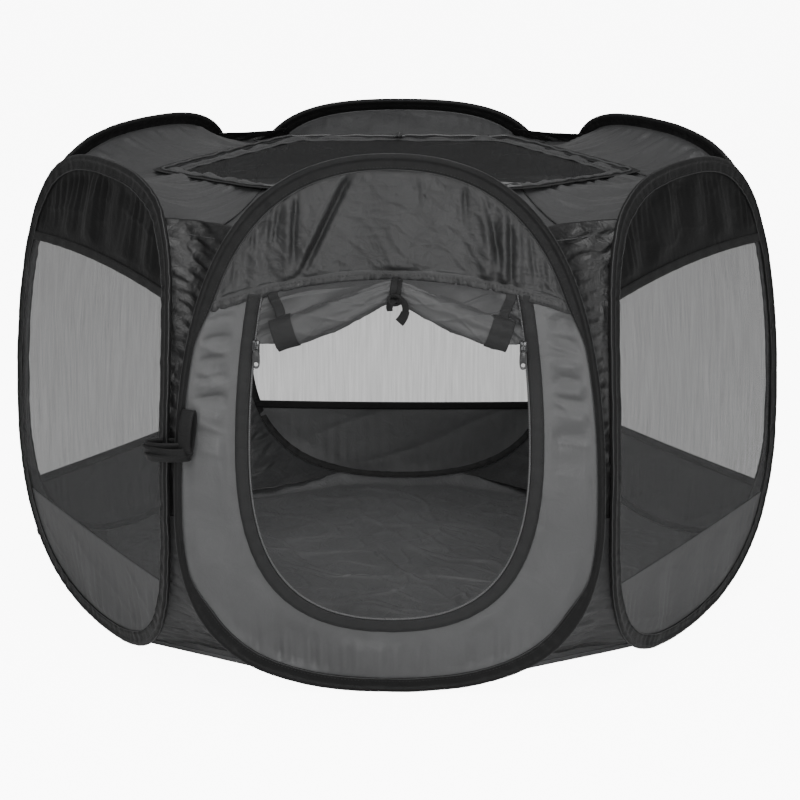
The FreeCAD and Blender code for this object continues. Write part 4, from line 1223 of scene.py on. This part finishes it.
def hatch_line(side, shrink, count):
    """Points along one edge of the hatch, between the middles of its two rounded corners."""
    start, end = hatch_corner_height(side + 4, shrink), hatch_corner_height(side + 5, shrink)
    turn = np.radians(np.linspace(-30, 30, count))
    radius = HATCH_RADIUS - shrink
    flat = radius * math.cos(math.radians(30)) / np.cos(turn)
    soft = 0.0095 * radius / HATCH_RADIUS
    reach = -soft * np.log(np.exp(-flat / soft) + np.exp(-0.990 * radius / soft))
    facing = turn + math.radians(60 * side - 90)
    height = start + (end - start) * np.linspace(0, 1, count)
    return np.stack([reach * np.cos(facing), reach * np.sin(facing), height], -1)


def hatch_ring(shrink, count, lift=0.0):
    """A closed line round the hatch, some way inside its outer edge."""
    return np.concatenate([hatch_line(side, shrink, count)[:-1] for side in range(6)]) + [0, 0, lift]


def chord(here, neighbour, shares):
    """Part of the sagging chord from a point towards a neighbour's."""
    sag = np.array([0, 0, -0.004])
    return [here + (neighbour - here) * s + sag * (4 * s * (1 - s)) for s in shares]


def arch_edge(wall, count):
    """The roof's edge on a wall: half a chord, the arch between the chords, half a chord."""
    index = WALL_NAMES.index(wall)
    left, right = WALL_NAMES[index - 1], WALL_NAMES[(index + 1) % 6]
    chord_t = {name: loop_t_at(name, across=CHORD, inset=ROOF_INSET) for name in (left, wall, right)}
    t = np.linspace(2 - chord_t[wall], chord_t[wall], count)
    line = place(wall, *loop(wall, t, ROOF_INSET), ROOF_OUT)
    left_end = place(left, *loop(left, chord_t[left], ROOF_INSET), ROOF_OUT)
    right_end = place(right, *loop(right, 2 - chord_t[right], ROOF_INSET), ROOF_OUT)
    before = chord(line[0], left_end, np.linspace(0.5, 0, CHORD_STEPS)[:-1])
    after = chord(line[-1], right_end, np.linspace(0, 0.5, CHORD_STEPS)[1:])
    return np.concatenate([before, line, after])


def fold_roof_piece(piece):
    """Gives a roof piece its own copy of its mesh."""
    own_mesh(piece)


def gore_folds(wall, points, t):
    """Creases over a roof piece, with pleats near its hatch and arch edges."""
    turn = math.radians(WALLS[wall])
    x, y = points[..., 0], points[..., 1]
    along = x * math.cos(turn) + y * math.sin(turn)
    across = -x * math.sin(turn) + y * math.cos(turn)
    seed = 200 + 10 * WALL_NAMES.index(wall)
    wave = waves(along, across, seed, 0.11, 0.3, 1.0) * 0.0024
    wave += creases(along, across, seed + 1, 0.11, 0.15, 0.5) * 0.0026
    wave += waves(along, across * 0.3, seed + 2, 0.030, 0, 0.25) * 0.0018 * np.exp(-t / 0.3)
    wave += waves(along, across * 0.3, seed + 3, 0.026, 0, 0.25) * 0.0018 * np.exp(-(1 - t) / 0.25)
    wave += creases(along, across, seed + 4, 0.045, 0.9, 1.2, 4) * 0.0007
    fade = smoothstep(0, 0.10, t) * smoothstep(0, 0.10, 1 - t)
    return wave * fade * np.sin(np.linspace(0, math.pi, points.shape[1]))[None] ** 0.35


def make_roof(wall):
    """A wall's piece of the roof, from under the hatch's tape to its arch, and its raised seams."""
    body = f"{wall}_wall"
    outer = arch_edge(wall, 96)
    inner = hatch_line(WALL_NAMES.index(wall), ROOF_UNDER_TAPE, len(outer)) - [0, 0, 0.0004]
    t = np.linspace(0, 1, 64)[:, None]
    points = inner[None] + (outer - inner)[None] * t[..., None]
    climb = np.clip(outer[:, 2] - inner[:, 2], 0, 1)[None]
    points[..., 2] -= np.sin(t * math.pi) * (0.010 + 0.10 * climb)
    points[..., 2] += gore_folds(wall, points, t)
    gore = grid_object(f"roof_gore_{wall}", points, thickness=CLOTH)
    dress(gore, ROOF, body, "roof_fabric")
    seams = [tube("seam", points[:, column] + [0, 0, 0.0008], 0.0011, 6) for column in (0, -1)]
    seams.append(tube("rim", points[-1, CHORD_STEPS:-CHORD_STEPS] + [0, 0, 0.0006], 0.0012, 6))
    seam = joined(f"roof_seams_{wall}", seams)
    dress(seam, ROOF, body)
    fold_roof_piece(gore)
    fold_roof_piece(seam)


def hatch_strip(name, outer, inner, rows, material, slot, body, node, bumps, seed, lift):
    """One ring of the hatch between two shrinks, with the same creases all the way round."""
    points = np.array([hatch_ring(shrink, 70) for shrink in np.linspace(outer, inner, rows)])
    t = np.linspace(0, 1, rows)[:, None]
    x, y = points[..., 0], points[..., 1]
    wave = waves(x, y, seed, 0.05) * bumps + creases(x, y, seed + 1, 0.07) * bumps
    points[..., 2] += lift + wave * (0.25 + 0.75 * np.sin(t * math.pi))
    piece = grid_object(name, points, around=True, thickness=CLOTH)
    dress(piece, material, body, node)
    fold_flat(piece)


def make_hatch_net():
    shrink_start = HATCH_TAPE * 2 + 0.023
    t = np.linspace(0, 1, 60)
    reach = HATCH_RADIUS - 0.0005 - shrink_start
    points = np.array([hatch_ring(shrink_start + reach * s, 60) for s in t])
    x, y = points[..., 0], points[..., 1]
    t = t[:, None]
    slack = waves(x, y, 305, 0.16) * 0.0035 + creases(x, y, 306, 0.2, 0.3, 0.8) * 0.004
    points[..., 2] += slack * smoothstep(0, 0.2, t)
    points[..., 2] -= 0.012 * smoothstep(0, 1, t)
    piece = grid_object("hatch_net", points, np.stack([x, y], -1), around=True)
    dress(piece, HATCH_MESH, "hatch", "hatch_mesh")
    fold_flat(piece)


def make_hatch():
    """The hatch's mesh, border and zip, and the roof's half of the zip tape."""
    tape_end = HATCH_TAPE * 2
    outer_tape = (-0.003, HATCH_TAPE - 0.001, 7, ZIP_TAPE, "zip_tape", "front_wall", "roof_zipper_tape")
    inner_tape = (HATCH_TAPE + 0.001, tape_end, 7, ZIP_TAPE, "zip_tape", "hatch", "hatch_zipper_tape")
    border = (tape_end - 0.003, tape_end + 0.026, 16, ROOF, "roof_cloth", "hatch", "hatch_border")
    hatch_strip("roof_zip_tape", *outer_tape, 0.0005, 301, TAPE_LIFT)
    hatch_strip("hatch_zip_tape", *inner_tape, 0.0005, 301, TAPE_LIFT)
    hatch_strip("hatch_cloth_border", *border, 0.0022, 303, 0.0008)
    make_hatch_net()
    ring = hatch_ring(HATCH_TAPE, 260, 0.0030)
    ring[:, 2] += waves(ring[:, 0], ring[:, 1], 301, 0.05) * 0.0007
    coil = tube("hatch_zip_coil", ring, 0.0019 + coil_teeth(ring), 6, closed=True)
    dress(coil, ZIP_COIL, "hatch")
    fold_flat(coil)
    for name, shrinks, body in (
        ("roof_zip_stitching", (0.0015, 0.0085), "front_wall"),
        ("hatch_zip_stitching", (tape_end - 0.0015, tape_end + 0.021), "hatch"),
    ):
        rings = [hatch_ring(shrink, 60, 0.0030) for shrink in shrinks]
        rows = [stitches("row", np.concatenate([ring, ring[:1]]), (0, 0, 1)) for ring in rings]
        threads = joined(name, rows)
        dress(threads, THREAD, body)
        fold_flat(threads)


# Corner gussets ------------------------------------------------------------------------------------

GUSSET_INSET = 0.012
# The row that parts the upper cloth from the lower, where neighbouring loops touch
WAIST_ROW = 90


def loop_side(wall, sign):
    """One upright side of a loop, from the roof's chord down to the floor's, inside the sleeve."""
    top_t = loop_t_at(wall, across=CHORD, inset=GUSSET_INSET)
    low_t = loop_t_at(wall, across=FLOOR_CHORD, upper=False, inset=GUSSET_INSET)
    t = np.concatenate([np.linspace(top_t, 0, 90)[:-1], np.linspace(4 - 1e-6, low_t, 90)])
    u, z = loop(wall, t, GUSSET_INSET)
    return place(wall, u * sign, z, -0.0052)


def gusset_points(index, a, b):
    """The cloth between two loops' sides, drawn in between them and creased."""
    s = np.linspace(0, 1, 30)[None, :]
    points = a[:, None] + (b - a)[:, None] * s[..., None]
    width = np.linalg.norm(b - a, axis=1)[:, None]
    across, height = (s - 0.5) * width, points[..., 2]
    seed = 400 + 10 * index
    lean = 1.25 if index % 2 else 1.75
    wave = waves(across, height, seed, 0.019, lean, 0.30) * 0.0019
    wave += creases(across, height, seed + 1, 0.028, lean, 0.45) * 0.0028
    wave += waves(across, height, seed + 2, 0.10, 0.6, 0.9) * 0.0020
    live = np.clip(width / 0.10, 0, 1) * np.sin(s * math.pi) ** 0.6
    bulge = -np.sin(s * math.pi) * np.clip(width - 0.02, 0, 0.2) * 0.13
    return points + outward(WALL_NAMES[index], 30) * (bulge + wave * live)[..., None]


def make_gussets(index):
    """The upper and lower cloth between a wall and the next. One pair, at the seam that the fold
    opens, keeps to the back wall."""
    wall, other = WALL_NAMES[index], WALL_NAMES[(index + 1) % 6]
    a, b = loop_side(wall, 1), loop_side(other, -1)
    points = gusset_points(index, a, b)
    for label, rows, material in (
        ("upper", slice(0, WAIST_ROW + 1), GUSSET),
        ("lower", slice(WAIST_ROW, len(a)), LOW_GUSSET),
    ):
        piece = grid_object(f"{label}_gusset_{wall}_{other}", points[rows], thickness=CLOTH)
        dress(piece, material)
        if {wall, other} == {"back_right", "back"}:
            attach(piece, "back_wall")
            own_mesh(piece)
        else:
            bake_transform(piece)
        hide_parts(f"{label}_gussets")


# Floor ---------------------------------------------------------------------------------------------

FLOOR_LEVEL = 0.0042
FLOOR_INSET = 0.012
FLOOR_OUT = -0.0053


def floor_rim():
    """The floor's outline: along each sill, then straight over to the next."""
    rim = []
    u = np.linspace(-FLOOR_CHORD, FLOOR_CHORD, 48)
    for index, wall in enumerate(WALL_NAMES):
        rim.append(place(wall, u, sill_height(wall, u, FLOOR_INSET), FLOOR_OUT))
        other = WALL_NAMES[(index + 1) % 6]
        a = rim[-1][-1]
        b = place(other, -FLOOR_CHORD, sill_height(other, FLOOR_CHORD, FLOOR_INSET), FLOOR_OUT)
        rim.append(a + (b - a) * np.linspace(0, 1, 40)[1:-1, None])
    return np.concatenate(rim)


def make_floor():
    """The sewn-in floor: its rim climbs a little to the sills and the corner cloths all round."""
    rim = floor_rim()
    share = np.concatenate([np.linspace(0, 0.06, 8)[:-1], 0.06 + 0.94 * np.linspace(0, 1, 120)])
    points = rim[None] * (1 - share)[:, None, None]
    climb = (1 - smoothstep(0, 0.055, share))[:, None]
    points[..., 2] = FLOOR_LEVEL + (rim[None, :, 2] - FLOOR_LEVEL) * climb
    x, y = points[..., 0], points[..., 1]
    wave = creases(x, y, 501, 0.16, 0.4, 1.6, 4) * 0.0034 + creases(x, y, 502, 0.09, 1.2, 1.6, 5) * 0.0020
    wave += (waves(x, y, 503, 0.20) + 1) * 0.0009
    points[..., 2] += np.clip(wave, 0, 1) * smoothstep(0.03, 0.10, share)[:, None]
    floor = grid_object("floor_cloth", points, np.stack([x, y], -1), around=True, thickness=0.0016)
    dress(floor, FLOOR, "front_wall", "floor_panel")
    fold_flat(floor)


# Strap ---------------------------------------------------------------------------------------------


def make_strap():
    """The webbing knotted round the two loops at the corner left of the door."""
    low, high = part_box("carry_strap")
    turn = math.radians(-12)
    tangent = np.array([math.cos(turn), math.sin(turn), 0])
    facing = np.array([math.sin(turn), -math.cos(turn), 0])
    up = np.array([0, 0, 1.0])
    corner = np.array([DOOR_CORNER[0], DOOR_CORNER[1], (low.z + high.z) / 2]) + tangent * 0.012

    def points(across, out, height):
        parts = zip(np.broadcast_arrays(across, out, height), (tangent, facing, up))
        return corner + sum(part[:, None] * axis for part, axis in parts)

    angles = full_turn(80)
    pieces = []
    for lift, reach, tilt in ((0.009, 0.0300, 0.05), (0.001, 0.0330, -0.04), (-0.008, 0.0300, 0.02)):
        height = lift + tilt * reach * np.cos(angles)
        line = points(-0.014 + reach * np.cos(angles), 0.006 + 0.0135 * np.sin(angles), height)
        pieces.append(ribbon("turn", line, up + facing * 0.55, 0.0125, 0.0036, closed=True))
    height = 0.030 + 0.029 * np.sin(angles)
    line = points(0.016 + 0.10 * (height - 0.03), 0.010 + 0.0125 * np.cos(angles), height)
    pieces.append(ribbon("loop", line, tangent + facing * 0.25, 0.0200, 0.0028, closed=True))
    across = (0.014, 0.004, -0.014, -0.034, -0.046, -0.048)
    out = (0.016, 0.023, 0.023, 0.021, 0.012, 0.004)
    height = (0.002, -0.001, 0.000, 0.002, 0.003, -0.002)
    pieces.append(ribbon("cross", bezier(points(across, out, height)), up + facing * 0.3, 0.0150, 0.0032))
    strap = joined("knotted_strap", pieces)
    dress(strap, WEBBING)
    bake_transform(strap)
    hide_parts("carry_strap")


def make_tab():
    """A short loop of tape sewn into the front-left sleeve's lower outer edge."""
    t = loop_t_at("front_left", height=0.085, upper=False)
    u, z = loop("front_left", np.linspace(t - 0.012, t + 0.012, 8), -0.004)
    tab = ribbon("sleeve_tab", place("front_left", -u, z), outward("front_left"), 0.006, 0.0060)
    dress(tab, BINDING, "front_left_wall")


# Hidden steel --------------------------------------------------------------------------------------


def dress_steel():
    for wall in WALLS:
        for node in (f"spring_loop_{wall}", f"ferrule_{wall}"):
            for slot in frame["nodes"][node].material_slots:
                slot.material = STEEL


# Stage ---------------------------------------------------------------------------------------------


def seen_level(n, plain, through_mesh, otherwise):
    """A brightness for what the camera sees bare, for what it sees through mesh, and for all else."""
    rays = n.add("LightPath")
    behind = n.math("GREATER_THAN", rays.outputs["Transparent Depth"], 0.5)
    seen = n.math("ADD", n.math("MULTIPLY", behind, through_mesh - plain), plain)
    lift = n.math("SUBTRACT", seen, otherwise)
    return n.math("ADD", n.math("MULTIPLY", lift, rays.outputs["Is Camera Ray"]), otherwise)


def make_ground():
    """A pale floor with a white glow that only the camera sees, so that it lights nothing."""
    bpy.ops.mesh.primitive_plane_add(size=40)
    ground = bpy.context.object
    ground.name = "ground"
    n = Nodes("pale floor")
    surface = n.add("BsdfPrincipled", {"Base Color": (0.8, 0.8, 0.8, 1), "Roughness": 0.9})
    glow = n.add("Emission", {"Strength": seen_level(n, 9.0, 1.2, 0.0)})
    both = n.add("AddShader", {0: surface.outputs[0], 1: glow.outputs[0]})
    ground.data.materials.append(n.done(both.outputs[0]))


def make_stage():
    """A dim even sky that looks white to the camera, and five soft lamps, one of them under the roof."""
    make_ground()
    world = bpy.data.worlds.new("studio")
    world.use_nodes = True
    background = world.node_tree.nodes["Background"]
    background.inputs["Color"].default_value = (1, 1, 1, 1)
    n = Nodes("studio", world.node_tree)
    n.feed(seen_level(n, 10.0, 1.9, 0.30), background.inputs["Strength"])
    bpy.context.scene.world = world
    for name, location, size, power in (
        ("key", (-2.4, -3.2, 2.6), 1.8, 75),
        ("fill", (3.0, -2.6, 2.0), 2.0, 35),
        ("top", (0.2, -1.2, 3.6), 2.4, 95),
        ("front", (0.5, -3.6, 1.0), 1.2, 55),
        ("inside", (0, 0, 0.62), 0.5, 2.5),
    ):
        light = bpy.data.lights.new(name, "AREA")
        light.energy = power
        light.size = size
        lamp = add_object(name, light)
        lamp.visible_camera = False
        lamp.location = location
        direction = Vector((0, 0, 0.2)) - Vector(location)
        lamp.rotation_euler = direction.to_track_quat("-Z", "Y").to_euler()


def make_camera():
    data = bpy.data.cameras.new("camera")
    data.sensor_width = 36
    data.lens = 102.15
    data.shift_x = 0.00475
    camera = add_object("camera", data)
    yaw = math.radians(1.004)
    distance, height, pitch = 3.505, 1.214, 0.257
    camera.location = (distance * math.sin(yaw), -distance * math.cos(yaw), height)
    camera.rotation_euler = (math.pi / 2 - pitch, 0, yaw)
    bpy.context.scene.camera = camera


for each in WALL_NAMES:
    make_sleeve(each)
for each in WALL_NAMES[1:]:
    make_side_wall(each)
make_front_band()
make_front_seam()
make_surround()
make_door_tape()
make_roll()
make_curtain()
make_shoulders()
make_tie()
make_door_zip("left")
make_door_zip("right")
for each in WALL_NAMES:
    make_roof(each)
make_hatch()
make_hatch_zip()
for number in range(6):
    make_gussets(number)
make_floor()
make_strap()
make_tab()
dress_steel()
make_stage()
make_camera()
